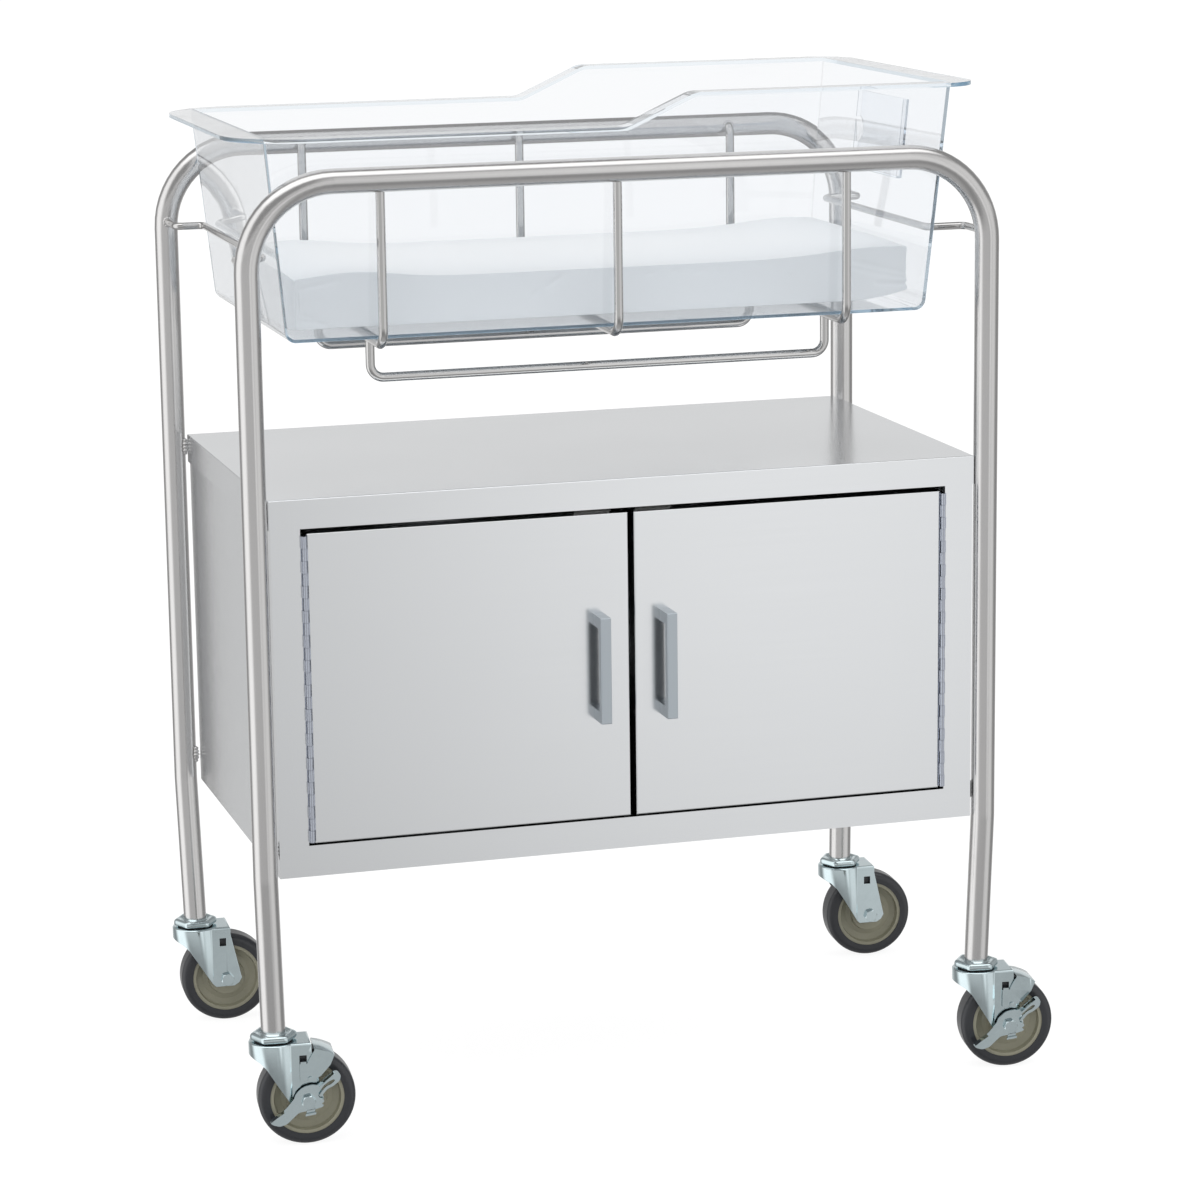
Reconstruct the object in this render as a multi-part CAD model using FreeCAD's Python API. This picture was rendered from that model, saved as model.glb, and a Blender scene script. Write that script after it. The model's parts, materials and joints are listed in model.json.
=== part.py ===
import FreeCAD, Part
import math
import os

# Hospital bassinet: a stainless tube frame on four 4 in casters, with a two-door steel
# cabinet below and a clear lift-out tub with its mattress above.
# Millimetres, +Z up, +X along the front, the doors face -Y.
# Everything is modelled about the middle of the frame with Z = 0 on the floor, and is
# moved at the end so that the origin is the bottom centre of the whole object.

V = FreeCAD.Vector
# How far a cutting block runs past the face that it cuts, and how far a trimming block runs past a tub.
OVERCUT = 1.0
TRIM_SPARE = 60.0
X_AXIS = V(1, 0, 0)
Y_AXIS = V(0, 1, 0)
Z_AXIS = V(0, 0, 1)

# ---------------------------------------------------------------- frame tubes
TUBE_D = 25.4
TUBE_WALL = 1.65
POST_SPACING_X = 787.4
POST_SPACING_Y = 444.5
RAIL_Z = 995.5
RAIL_BEND_R = 88.9
LEG_LEAN_X = 0.024
LEG_LEAN_Y = 0.033
LEG_BEND_R = 150.0
LEG_OVERRUN = 1.2

# ---------------------------------------------------------------- casters
WHEEL_D = 101.6
WHEEL_W = 31.0
TYRE_WALL = 12.3
TYRE_SHOULDER_R = 7.0
CORE_LIP_INSET = 0.8
CORE_LIP_W = 3.5
CORE_BOSS_WALL = 4.5
CORE_STEP_R = 20.0
CORE_STEP_Y = 12.0
CORE_WEB_R = 27.0
CORE_WEB_Y = 6.5
CORE_DRAFT = 1.2
CASTER_TRAIL = 32.0
FORK_INNER_W = 36.0
FORK_SHEET = 2.5
FORK_CUP_R = 26.0
FORK_TOP_GAP = 7.7
FORK_FOLD_R = 2.2
FORK_BROW_H = 9.0
FORK_BROW_X = 5.0
FORK_EAR_W = 33.0
FORK_EAR_DROP = 8.8
FORK_EAR_CHAMFER = 3.3
FORK_TOE_CHAMFER = 8.5
FORK_SKIRT_X = -10.0
FORK_SKIRT_Z = 87.0
FORK_SKIRT_CHAMFER = 6.0
SPINDLE_HEAD_R = 9.0
SPINDLE_HEAD_H = 4.0
AXLE_BOLT_D = 8.0
BOLT_AF = 13.0
BOLT_HEAD_H = 5.3
BOLT_TAIL = 2.0
BOLT_TURN = 12.0
SLEEVE_D = 12.0
SPINDLE_D = 12.0
RUNNING_FIT = 0.05
RACE_R = 20.0
RACE_H = 1.2
NUT_AF = 43.0
NUT_H = 7.0
STEM_LENGTH = 40.0
STEM_NECK_R = 8.0
STEM_FIT = 0.03
NUT_CHAMFER = 1.2
BOLT_CHAMFER = 0.3
BODY_GAP = 0.35
# How each caster happens to be turned at rest, in degrees about its stem.
REST_TURN = {"front_left": -6.0, "front_right": -8.0, "rear_left": -3.0, "rear_right": -4.0}

# ---------------------------------------------------------------- caster brakes
LEVER_SHEET = 2.0
LEVER_LOBE_R = 18.0
LEVER_ARM_W = 18.0
LEVER_LIP = 7.0
LEVER_LIP_L = 22.0
LEVER_TIP_CUT = 0.3
LEVER_SLOT_W = 4.0
STEP_ANGLE = 217.0
STEP_REACH = 45.0
RELEASE_ANGLE = 31.0
RELEASE_REACH = 43.0
TAIL_ANGLE = 352.0
TAIL_REACH = 21.0
SHOE_SHEET = 2.0
SHOE_LEG_GAP = 0.7
SHOE_TYRE_GAP = 2.6
SHOE_HOLE_W = 7.6
SHOE_HOLE_H = 9.0
SHOE_HOLE_BACK = 4.0
SHOE_HOLE_UP = 43.5
SHOE_HOOK_PLAY = 0.8
SHOE_NOSE_X = 24.0
SHOE_NOSE_Z = 37.0
SHOE_JAW_X = 14.0
SHOE_HEEL_Z = 20.5
SHOE_BOSS_R = 2.6
SHOE_PAD_FROM = 82.0
SHOE_PAD_TO = 59.0

# ---------------------------------------------------------------- cabinet
CABINET_SIDE_GAP = 0.3
CABINET_FRONT_Y = -225.0
CABINET_BACK_Y = 212.0
CABINET_BOTTOM_Z = 284.3
CABINET_H = 393.7
SHEET = 1.5
TOP_BAND_H = 30.5
BOTTOM_RAIL_H = 32.7
STILE_W = 31.0
PANEL_INSET = 2.0
RETURN_DEPTH = 19.0
SHELF_MID = 0.5
SHELF_SETBACK = 30.0
SHELF_LIP_H = 14.0
BRACKET_W = 14.0
BRACKET_L = 28.0
BRACKET_FRONT_SETBACK = 75.0
BRACKET_BACK_SETBACK = 60.0

# ---------------------------------------------------------------- doors
DOOR_T = 16.0
DOOR_CENTRE_GAP = 6.4
DOOR_TOP_GAP = 5.1
DOOR_BOTTOM_GAP = 2.3
DOOR_EDGE_R = 1.2
HINGE_BARREL_D = 4.8
HINGE_PIN_D = 2.4
HINGE_LEAF_T = 1.0
HINGE_LEAF_W = 13.0
HINGE_MARGIN = 1.8
HINGE_LEAF_LAP = 0.2
HINGE_LEAF_SETBACK = 0.6
KNUCKLE_L = 12.7
KNUCKLE_GAP = 0.3
HANDLE_L = 112.0
HANDLE_W = 11.1
HANDLE_REACH = 26.5
HANDLE_BAR_T = 8.0
HANDLE_FOOT_L = 12.0
HANDLE_EDGE_INSET = 27.0
HANDLE_TOP_DROP = 104.5
HANDLE_EDGE_R = 0.8
CATCH_W = 38.0
CATCH_H = 15.0
CATCH_D = 14.0
CATCH_OFFSET_X = 14.0
CATCH_TOP_GAP = 1.0
STRIKE_T = 1.2
STRIKE_W = 26.0
STRIKE_H = 14.0

# ---------------------------------------------------------------- tub rods
HANGER_D = 9.525
HANGER_DEPTH = 170.5
HANGER_PITCH = 248.0
HANGER_SKEW = 4.0
HANGER_BEND_R = 19.0
HANGER_HOOK_R = 9.0
HANGER_FIT = 0.25
HANGER_RAIL_LAP = 6.0
DROP_ROD_Y = 125.0
DROP_DEPTH = 43.4
DROP_BEND_R = 14.0
END_ROD_D = 7.94
END_ROD_DROP = 81.0
END_ROD_STUB = 50.0
END_ROD_BEND_R = 8.0
END_ROD_TUB_GAP = {"left": 3.5, "right": 0.8}

# ---------------------------------------------------------------- tub and mattress
TUB_HIGH_H = 237.6
TUB_LOW_H = 205.4
TUB_FOOT_X = -348.0
TUB_HEAD_X = 339.0
TUB_BOTTOM_HALF_W = 184.0
TUB_WALL = 3.2
TUB_FOOT_DRAFT = 0.095
TUB_HEAD_DRAFT = 0.10
TUB_SIDE_DRAFT = 0.045
TUB_END_BEND_R = 12.0
TUB_EDGE_R = 0.8
RIM_T = 4.2
RIM_FOOT_X = -400.0
RIM_HEAD_X = 391.3
RIM_HALF_W = 217.3
RIM_FOOT_CORNER_R = 80.0
RIM_HEAD_CORNER_R = 46.0
RIM_STEP_X = 5.0
RIM_STEP_L = 72.0
RIM_STEP_R = 26.0
MATTRESS_L = 668.0
MATTRESS_W = 306.0
MATTRESS_T = 64.0
MATTRESS_EDGE_R = 9.0
MATTRESS_LIFT = 0.4
MATTRESS_X = 0.0
# Shares of the head wall's height above the end rod, so that the card pocket always clears the rod.
CARD_H_SHARE = 0.548
CARD_DROP_SHARE = 0.17
CARD_NOTCH_SHARE = 0.091
CARD_W = 140.0
CARD_T = 2.0
CARD_POCKET = 4.0

# ---------------------------------------------------------------- worked out
TUBE_R = TUBE_D / 2
POST_X = POST_SPACING_X / 2
POST_Y = POST_SPACING_Y / 2
WHEEL_R = WHEEL_D / 2
AXLE_Z = WHEEL_R
FORK_PLATE_Z = WHEEL_D + FORK_TOP_GAP
FORK_TOP_Z = FORK_PLATE_Z + FORK_SHEET
FORK_LEG_Y = FORK_INNER_W / 2 + FORK_SHEET
RACE_Z = FORK_TOP_Z + BODY_GAP
NUT_Z = RACE_Z + RACE_H
LEG_FOOT_Z = NUT_Z + NUT_H
LEG_KNEE_Z = CABINET_BOTTOM_Z
LEG_DROP = LEG_KNEE_Z - LEG_FOOT_Z
STEM_X = POST_X - LEG_LEAN_X * LEG_DROP
STEM_Y = POST_Y - LEG_LEAN_Y * LEG_DROP
CORNERS = {
    "front_left": (-1, -1),
    "front_right": (1, -1),
    "rear_left": (-1, 1),
    "rear_right": (1, 1),
}
BRAKED = ("front_left", "front_right")

CABINET_HALF_X = POST_X - TUBE_R - CABINET_SIDE_GAP
CABINET_TOP_Z = CABINET_BOTTOM_Z + CABINET_H
BAND_Z = CABINET_TOP_Z - TOP_BAND_H
BOTTOM_RAIL_TOP_Z = CABINET_BOTTOM_Z + BOTTOM_RAIL_H
PANEL_X = CABINET_HALF_X - PANEL_INSET
PANEL_FRONT_Y = CABINET_FRONT_Y + PANEL_INSET / 2
PANEL_BACK_Y = CABINET_BACK_Y - PANEL_INSET
STILE_INNER_X = PANEL_X - STILE_W
HINGE_X = STILE_INNER_X - HINGE_LEAF_T - HINGE_BARREL_D / 2 + HINGE_LEAF_LAP
HINGE_Y = CABINET_FRONT_Y - HINGE_BARREL_D / 2
DOOR_OUTER_X = HINGE_X - HINGE_BARREL_D / 2 - HINGE_LEAF_T + HINGE_LEAF_LAP
DOOR_INNER_X = DOOR_CENTRE_GAP / 2
DOOR_TOP_Z = BAND_Z - DOOR_TOP_GAP
DOOR_BOTTOM_Z = BOTTOM_RAIL_TOP_Z + DOOR_BOTTOM_GAP
DOOR_FACE_Y = CABINET_FRONT_Y
DOOR_BACK_Y = DOOR_FACE_Y + DOOR_T
SHELF_Z = BOTTOM_RAIL_TOP_Z + SHELF_MID * (BAND_Z - BOTTOM_RAIL_TOP_Z)

HANGER_R = HANGER_D / 2
HANGER_Z = RAIL_Z - HANGER_DEPTH
HANGER_Y = POST_Y - TUBE_R - HANGER_R - HANGER_FIT
DROP_Z = HANGER_Z - DROP_DEPTH
END_ROD_Z = RAIL_Z - END_ROD_DROP
TUB_BOTTOM_Z = HANGER_Z + HANGER_R + BODY_GAP
TUB_FLOOR_Z = TUB_BOTTOM_Z + TUB_WALL
RIM_LOW_Z = TUB_BOTTOM_Z + TUB_LOW_H
RIM_HIGH_Z = TUB_BOTTOM_Z + TUB_HIGH_H


# ---------------------------------------------------------------- shape helpers
def box(x0, x1, y0, y1, z0, z1):
    """Box between two opposite corners."""
    return Part.makeBox(x1 - x0, y1 - y0, z1 - z0, V(x0, y0, z0))


def rod(radius, start, end):
    """Cylinder from one point to another."""
    run = end - start
    return Part.makeCylinder(radius, run.Length, start, run)


def prism_y(points, y0, y1):
    """Straight prism along Y from an outline of (x, z) points."""
    corners = [V(x, y0, z) for x, z in points]
    face = Part.Face(Part.makePolygon(corners + corners[:1]))
    return face.extrude(V(0, y1 - y0, 0))


def prism_x(points, x0, x1):
    """Straight prism along X from an outline of (y, z) points."""
    corners = [V(x0, y, z) for y, z in points]
    face = Part.Face(Part.makePolygon(corners + corners[:1]))
    return face.extrude(V(x1 - x0, 0, 0))


def hexagon(across_flats, height, base, axis, turn=0.0):
    """Hexagonal prism standing on base along axis."""
    radius = across_flats / math.sqrt(3)
    points = []
    for i in range(7):
        angle = math.radians(60 * i + turn)
        points.append(V(radius * math.cos(angle), radius * math.sin(angle), 0))
    solid = Part.Face(Part.makePolygon(points)).extrude(V(0, 0, height))
    solid.Placement = FreeCAD.Placement(base, FreeCAD.Rotation(Z_AXIS, axis))
    return solid


def bent_path(points, radii):
    """Straight runs joined by tangent arcs.

    Gives ("line", start, end) and ("arc", centre, axis, start, degrees) pieces in order.
    """
    pieces = []
    start = points[0]
    for i, radius in enumerate(radii, start=1):
        before = (points[i - 1] - points[i]).normalize()
        after = (points[i + 1] - points[i]).normalize()
        turn = math.pi - before.getAngle(after)
        setback = radius * math.tan(turn / 2)
        arc_start = points[i] + before * setback
        axis = (before * -1).cross(after).normalize()
        centre = arc_start + axis.cross(before * -1) * radius
        pieces.append(("line", start, arc_start))
        pieces.append(("arc", centre, axis, arc_start, math.degrees(turn)))
        start = points[i] + after * setback
    pieces.append(("line", start, points[-1]))
    return pieces


def bar_along(points, radii, outer_r, inner_r=0.0):
    """Round bar, or tube when inner_r is given, along a path with tangent bends."""
    solids = []
    heading = None
    for piece in bent_path(points, radii):
        if piece[0] == "line":
            _, a, b = piece
            heading = (b - a).normalize()
            solid = rod(outer_r, a, b)
            if inner_r:
                solid = solid.cut(rod(inner_r, a, b))
        else:
            _, centre, axis, a, degrees = piece
            disc = Part.Face(Part.Wire(Part.makeCircle(outer_r, a, heading)))
            if inner_r:
                disc = disc.cut(Part.Face(Part.Wire(Part.makeCircle(inner_r, a, heading))))
            solid = disc.revolve(centre, axis, degrees)
        solids.append(solid)
    return fuse(solids)


def fuse(solids):
    """One solid out of touching solids."""
    whole = solids[0].fuse(solids[1:]) if len(solids) > 1 else solids[0]
    return whole.removeSplitter()


def mirror_x(shape):
    return shape.mirror(V(0, 0, 0), X_AXIS)


def on_side(shape, side):
    """The shape as made for the left side, or its mirror image for the right."""
    return shape if side == "left" else mirror_x(shape)


# ---------------------------------------------------------------- frame
def frame_path(row):
    """Bend points of one frame tube: leg, post, rail, post, leg. row is -1 front or +1 rear."""
    y = row * POST_Y
    over = LEG_OVERRUN * LEG_DROP
    foot_x = POST_X - LEG_LEAN_X * over
    foot_y = row * (POST_Y - LEG_LEAN_Y * over)
    foot_z = LEG_KNEE_Z - over
    return [
        V(-foot_x, foot_y, foot_z),
        V(-POST_X, y, LEG_KNEE_Z),
        V(-POST_X, y, RAIL_Z),
        V(POST_X, y, RAIL_Z),
        V(POST_X, y, LEG_KNEE_Z),
        V(foot_x, foot_y, foot_z),
    ]


def frame_tube(row, solid_core=False):
    """One bent frame tube, its legs cut level where they stand on the caster nuts."""
    radii = [LEG_BEND_R, RAIL_BEND_R, RAIL_BEND_R, LEG_BEND_R]
    inner = 0.0 if solid_core else TUBE_R - TUBE_WALL
    tube = bar_along(frame_path(row), radii, TUBE_R, inner)
    reach = POST_SPACING_X
    waste = box(-reach, reach, -reach, reach, LEG_FOOT_Z - 2 * LEG_DROP, LEG_FOOT_Z)
    return tube.cut(waste)


def hanger(index, rails):
    """U-shaped rod across the frame that carries the tub, a little askew; its ends hook onto the rails."""
    x_front = index * HANGER_PITCH - HANGER_SKEW
    x_rear = index * HANGER_PITCH + HANGER_SKEW
    hook_y = HANGER_Y + HANGER_RAIL_LAP + HANGER_HOOK_R
    points = [
        V(x_front, -hook_y, RAIL_Z),
        V(x_front, -HANGER_Y, RAIL_Z),
        V(x_front, -HANGER_Y, HANGER_Z),
        V(x_rear, HANGER_Y, HANGER_Z),
        V(x_rear, HANGER_Y, RAIL_Z),
        V(x_rear, hook_y, RAIL_Z),
    ]
    radii = [HANGER_HOOK_R, HANGER_BEND_R, HANGER_BEND_R, HANGER_HOOK_R]
    return bar_along(points, radii, HANGER_R).cut(rails)


def drop_rod(row, hangers):
    """Shallow U rod below the tub, welded up under the two end hangers."""
    y = row * DROP_ROD_Y
    points = [
        V(-HANGER_PITCH, y, HANGER_Z),
        V(-HANGER_PITCH, y, DROP_Z),
        V(HANGER_PITCH, y, DROP_Z),
        V(HANGER_PITCH, y, HANGER_Z),
    ]
    return bar_along(points, [DROP_BEND_R, DROP_BEND_R], HANGER_R).cut(hangers)


def end_rod(side, posts):
    """Hat-shaped rod between the two posts of one end, which keeps the tub from sliding off."""
    run_x = abs(tub_wall_x(side, END_ROD_Z)) + END_ROD_D / 2 + END_ROD_TUB_GAP[side]
    turn = -1 if side == "left" else 1
    stub_y = POST_Y - TUBE_R - END_ROD_STUB
    points = [
        V(turn * POST_X, -POST_Y, END_ROD_Z),
        V(turn * POST_X, -stub_y, END_ROD_Z),
        V(turn * run_x, -stub_y, END_ROD_Z),
        V(turn * run_x, stub_y, END_ROD_Z),
        V(turn * POST_X, stub_y, END_ROD_Z),
        V(turn * POST_X, POST_Y, END_ROD_Z),
    ]
    return bar_along(points, [END_ROD_BEND_R] * 4, END_ROD_D / 2).cut(posts)


# ---------------------------------------------------------------- cabinet
def cabinet_top():
    """Flat top with a band turned down all round, its outer edges eased."""
    outer = box(-CABINET_HALF_X, CABINET_HALF_X, CABINET_FRONT_Y, CABINET_BACK_Y, BAND_Z, CABINET_TOP_Z)
    rims = [e for e in outer.Edges if e.BoundBox.ZMin > BAND_Z + OVERCUT]
    uprights = [e for e in outer.Edges if e.BoundBox.ZLength > TOP_BAND_H - OVERCUT]
    outer = outer.makeFillet(SHEET, rims + uprights)
    inner = box(
        -CABINET_HALF_X + SHEET,
        CABINET_HALF_X - SHEET,
        CABINET_FRONT_Y + SHEET,
        CABINET_BACK_Y - SHEET,
        BAND_Z - OVERCUT,
        CABINET_TOP_Z - SHEET,
    )
    return outer.cut(inner)


def cabinet_shell():
    """Two sides and the back folded from one sheet, tucked inside the top's band."""
    z0 = CABINET_BOTTOM_Z
    z1 = CABINET_TOP_Z - SHEET
    y0 = PANEL_FRONT_Y + SHEET
    outer = box(-PANEL_X, PANEL_X, y0, PANEL_BACK_Y, z0, z1)
    x = PANEL_X - SHEET
    inner = box(-x, x, y0 - OVERCUT, PANEL_BACK_Y - SHEET, z0 - OVERCUT, z1 + OVERCUT)
    return outer.cut(inner)


def cabinet_floor():
    """Floor sheet level with the top of the bottom rail, its back and side edges turned down."""
    x = PANEL_X - SHEET
    y0 = PANEL_FRONT_Y + SHEET
    y1 = PANEL_BACK_Y - SHEET
    outer = box(-x, x, y0, y1, CABINET_BOTTOM_Z, BOTTOM_RAIL_TOP_Z)
    z0 = CABINET_BOTTOM_Z - OVERCUT
    inner = box(-x + SHEET, x - SHEET, y0 - OVERCUT, y1 - SHEET, z0, BOTTOM_RAIL_TOP_Z - SHEET)
    return outer.cut(inner)


def bottom_rail():
    """Front rail below the doors, between the stiles, with a short return under the floor."""
    y0 = PANEL_FRONT_Y
    face = box(-STILE_INNER_X, STILE_INNER_X, y0, y0 + SHEET, CABINET_BOTTOM_Z, BOTTOM_RAIL_TOP_Z)
    y1 = y0 + SHEET + RETURN_DEPTH
    foot = box(-STILE_INNER_X, STILE_INNER_X, y0, y1, CABINET_BOTTOM_Z, CABINET_BOTTOM_Z + SHEET)
    return fuse([face, foot])


def stile(side):
    """Upright of the front frame, folded back into the cabinet where the door hangs."""
    z0 = CABINET_BOTTOM_Z
    z1 = BAND_Z
    y0 = PANEL_FRONT_Y
    face = box(-PANEL_X, -STILE_INNER_X, y0, y0 + SHEET, z0, z1)
    y1 = y0 + RETURN_DEPTH
    fold = box(-STILE_INNER_X - SHEET, -STILE_INNER_X, y0, y1, BOTTOM_RAIL_TOP_Z + SHEET, z1)
    return on_side(fuse([face, fold]), side)


def shelf():
    """Loose-fit shelf half way up, with its front edge turned down."""
    x = PANEL_X - SHEET - BODY_GAP
    y0 = DOOR_BACK_Y + SHELF_SETBACK
    y1 = PANEL_BACK_Y - SHEET - BODY_GAP
    sheet = box(-x, x, y0, y1, SHELF_Z - SHEET, SHELF_Z)
    lip = box(-x, x, y0, y0 + SHEET, SHELF_Z - SHELF_LIP_H, SHELF_Z)
    return fuse([sheet, lip])


def shelf_brackets():
    """Four small angle brackets on the cabinet sides that carry the shelf."""
    x = PANEL_X - SHEET
    z1 = SHELF_Z - SHEET
    brackets = []
    for turn in (-1, 1):
        for y in (DOOR_BACK_Y + BRACKET_FRONT_SETBACK, PANEL_BACK_Y - BRACKET_BACK_SETBACK):
            plate = box(-x, -x + SHEET, y, y + BRACKET_L, z1 - BRACKET_W, z1)
            ledge = box(-x, -x + BRACKET_W, y, y + BRACKET_L, z1 - SHEET, z1)
            bracket = fuse([plate, ledge])
            brackets.append(bracket if turn < 0 else mirror_x(bracket))
    return brackets


def magnetic_catches():
    """Two catches, each on a small bracket behind the top band, one for each door."""
    top = CABINET_TOP_Z - SHEET
    z1 = DOOR_TOP_Z - CATCH_TOP_GAP
    y0 = DOOR_BACK_Y + STRIKE_T + BODY_GAP
    y1 = y0 + CATCH_D
    catches = []
    for side in ("left", "right"):
        x1 = -CATCH_OFFSET_X
        x0 = x1 - CATCH_W
        body = box(x0, x1, y0, y1, z1 - CATCH_H, z1)
        plate = box(x0, x1, y1 - SHEET, y1, z1, top)
        catches.append(on_side(fuse([body, plate]), side))
    return catches


def hinge_length():
    return DOOR_TOP_Z - DOOR_BOTTOM_Z - 2 * HINGE_MARGIN


def hinge_knuckles(parity):
    """Barrel rings of one leaf of the left piano hinge: every other knuckle."""
    count = int(hinge_length() // KNUCKLE_L)
    pitch = hinge_length() / count
    rings = []
    for i in range(parity, count, 2):
        z = DOOR_BOTTOM_Z + HINGE_MARGIN + i * pitch
        ring = Part.makeCylinder(HINGE_BARREL_D / 2, pitch - KNUCKLE_GAP, V(-HINGE_X, HINGE_Y, z))
        rings.append(ring)
    return rings


def hinge_bore(fit):
    z0 = DOOR_BOTTOM_Z
    return Part.makeCylinder(HINGE_PIN_D / 2 + fit, DOOR_TOP_Z - z0, V(-HINGE_X, HINGE_Y, z0))


def hinge_leaf(side, x_plate, parity, fit):
    """One leaf of the left hinge: a long plate in the door gap and its knuckles."""
    z0 = DOOR_BOTTOM_Z + HINGE_MARGIN
    z1 = z0 + hinge_length() - KNUCKLE_GAP
    y0 = CABINET_FRONT_Y + HINGE_LEAF_SETBACK
    plate = box(x_plate, x_plate + HINGE_LEAF_T, y0, CABINET_FRONT_Y + HINGE_LEAF_W, z0, z1)
    tabs = []
    # each knuckle is tied to its plate by a strap as tall as the knuckle
    for ring in hinge_knuckles(parity):
        low = ring.BoundBox.ZMin
        high = ring.BoundBox.ZMax
        inward = x_plate + HINGE_LEAF_T / 2 > -HINGE_X
        x0 = -HINGE_X if inward else x_plate
        x1 = x_plate + HINGE_LEAF_T if inward else -HINGE_X
        tabs.append(box(x0, x1, HINGE_Y, y0, low, high))
        tabs.append(ring)
    leaf = fuse([plate] + tabs).cut(hinge_bore(fit))
    return on_side(leaf, side)


def fixed_hinge_leaf(side):
    return hinge_leaf(side, -STILE_INNER_X, 0, 0.0)


def door_hinge_leaf(side):
    return hinge_leaf(side, -DOOR_OUTER_X - HINGE_LEAF_T, 1, RUNNING_FIT)


def hinge_pin(side):
    z0 = DOOR_BOTTOM_Z + HINGE_MARGIN
    pin = Part.makeCylinder(HINGE_PIN_D / 2, hinge_length() - KNUCKLE_GAP, V(-HINGE_X, HINGE_Y, z0))
    return on_side(pin, side)


# ---------------------------------------------------------------- doors
def door_pan(side):
    """Front skin of the left door with its four edges folded back."""
    outer = box(-DOOR_OUTER_X, -DOOR_INNER_X, DOOR_FACE_Y, DOOR_BACK_Y, DOOR_BOTTOM_Z, DOOR_TOP_Z)
    front = [e for e in outer.Edges if e.BoundBox.YMax < DOOR_FACE_Y + OVERCUT]
    outer = outer.makeFillet(DOOR_EDGE_R, front)
    inner = box(
        -DOOR_OUTER_X + SHEET,
        -DOOR_INNER_X - SHEET,
        DOOR_FACE_Y + SHEET,
        DOOR_BACK_Y + OVERCUT,
        DOOR_BOTTOM_Z + SHEET,
        DOOR_TOP_Z - SHEET,
    )
    return on_side(outer.cut(inner), side)


def door_liner(side):
    """Flat inner skin that closes the back of the door pan."""
    liner = box(
        -DOOR_OUTER_X + SHEET,
        -DOOR_INNER_X - SHEET,
        DOOR_BACK_Y - SHEET,
        DOOR_BACK_Y,
        DOOR_BOTTOM_Z + SHEET,
        DOOR_TOP_Z - SHEET,
    )
    return on_side(liner, side)


def door_handle(side):
    """Square bar pull standing off the door on two feet."""
    x1 = -DOOR_INNER_X - HANDLE_EDGE_INSET
    x0 = x1 - HANDLE_W
    z1 = DOOR_TOP_Z - HANDLE_TOP_DROP
    z0 = z1 - HANDLE_L
    y0 = DOOR_FACE_Y - HANDLE_REACH
    outer = box(x0, x1, y0, DOOR_FACE_Y, z0, z1)
    window_y = (y0 + HANDLE_BAR_T, DOOR_FACE_Y + OVERCUT)
    window = box(x0 - OVERCUT, x1 + OVERCUT, *window_y, z0 + HANDLE_FOOT_L, z1 - HANDLE_FOOT_L)
    grip = outer.cut(window)
    edges = [e for e in grip.Edges if e.BoundBox.YMax < y0 + HANDLE_EDGE_R]
    return on_side(grip.makeFillet(HANDLE_EDGE_R, edges), side)


def door_strike(side):
    """Steel plate on the door's inner skin that the magnet pulls on."""
    x_mid = -CATCH_OFFSET_X - CATCH_W / 2
    z1 = DOOR_TOP_Z - SHEET - CATCH_TOP_GAP
    x0 = x_mid - STRIKE_W / 2
    plate = box(x0, x0 + STRIKE_W, DOOR_BACK_Y, DOOR_BACK_Y + STRIKE_T, z1 - STRIKE_H, z1)
    return on_side(plate, side)


# ---------------------------------------------------------------- casters
def stem_spot(corner):
    sx, sy = CORNERS[corner]
    return V(sx * STEM_X, sy * STEM_Y, 0)


def place_caster(shape, corner):
    """Turn a caster piece to its resting direction and move it under its leg."""
    turned = shape.copy()
    turned.rotate(V(0, 0, 0), Z_AXIS, REST_TURN[corner])
    turned.translate(stem_spot(corner))
    return turned


def caster_stem(corner):
    """Stem pressed up into the leg, with the spindle and rivet head that the fork turns on."""
    sx, sy = CORNERS[corner]
    foot = stem_spot(corner) + V(0, 0, LEG_FOOT_Z)
    lean = V(sx * LEG_LEAN_X, sy * LEG_LEAN_Y, 1)
    plug_r = TUBE_R - TUBE_WALL - STEM_FIT
    plug = rod(plug_r, foot - lean * 2, foot + lean * STEM_LENGTH)
    reach = POST_SPACING_X
    plug = plug.common(box(-reach, reach, -reach, reach, LEG_FOOT_Z, RAIL_Z))
    neck = rod(STEM_NECK_R, foot - V(0, 0, NUT_H + RACE_H), foot)
    head_top = FORK_PLATE_Z - BODY_GAP
    spindle_foot = stem_spot(corner) + V(0, 0, head_top - SPINDLE_HEAD_H)
    spindle = rod(SPINDLE_D / 2, spindle_foot, stem_spot(corner) + V(0, 0, RACE_Z))
    head = Part.makeCylinder(SPINDLE_HEAD_R, SPINDLE_HEAD_H, spindle_foot)
    return fuse([plug, neck, spindle, head])


def stem_nut(corner):
    """Flat hexagon on the stem, right under the leg, its corners chamfered."""
    spot = stem_spot(corner)
    nut = hexagon(NUT_AF, NUT_H, spot + V(0, 0, NUT_Z), Z_AXIS, REST_TURN[corner])
    cone_r = NUT_AF / math.sqrt(3)
    rise = NUT_H - NUT_CHAMFER
    flank = Part.makeCone(cone_r + rise, cone_r - NUT_CHAMFER, NUT_H, spot + V(0, 0, NUT_Z))
    bore = rod(STEM_NECK_R, spot + V(0, 0, NUT_Z - OVERCUT), spot + V(0, 0, LEG_FOOT_Z + OVERCUT))
    return nut.common(flank).cut(bore)


def stem_race(corner):
    """Dark bearing seal between the hexagon and the turning fork."""
    spot = stem_spot(corner)
    ring = Part.makeCylinder(RACE_R, RACE_H, spot + V(0, 0, RACE_Z))
    return ring.cut(Part.makeCylinder(STEM_NECK_R, RACE_H, spot + V(0, 0, RACE_Z)))


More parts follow.
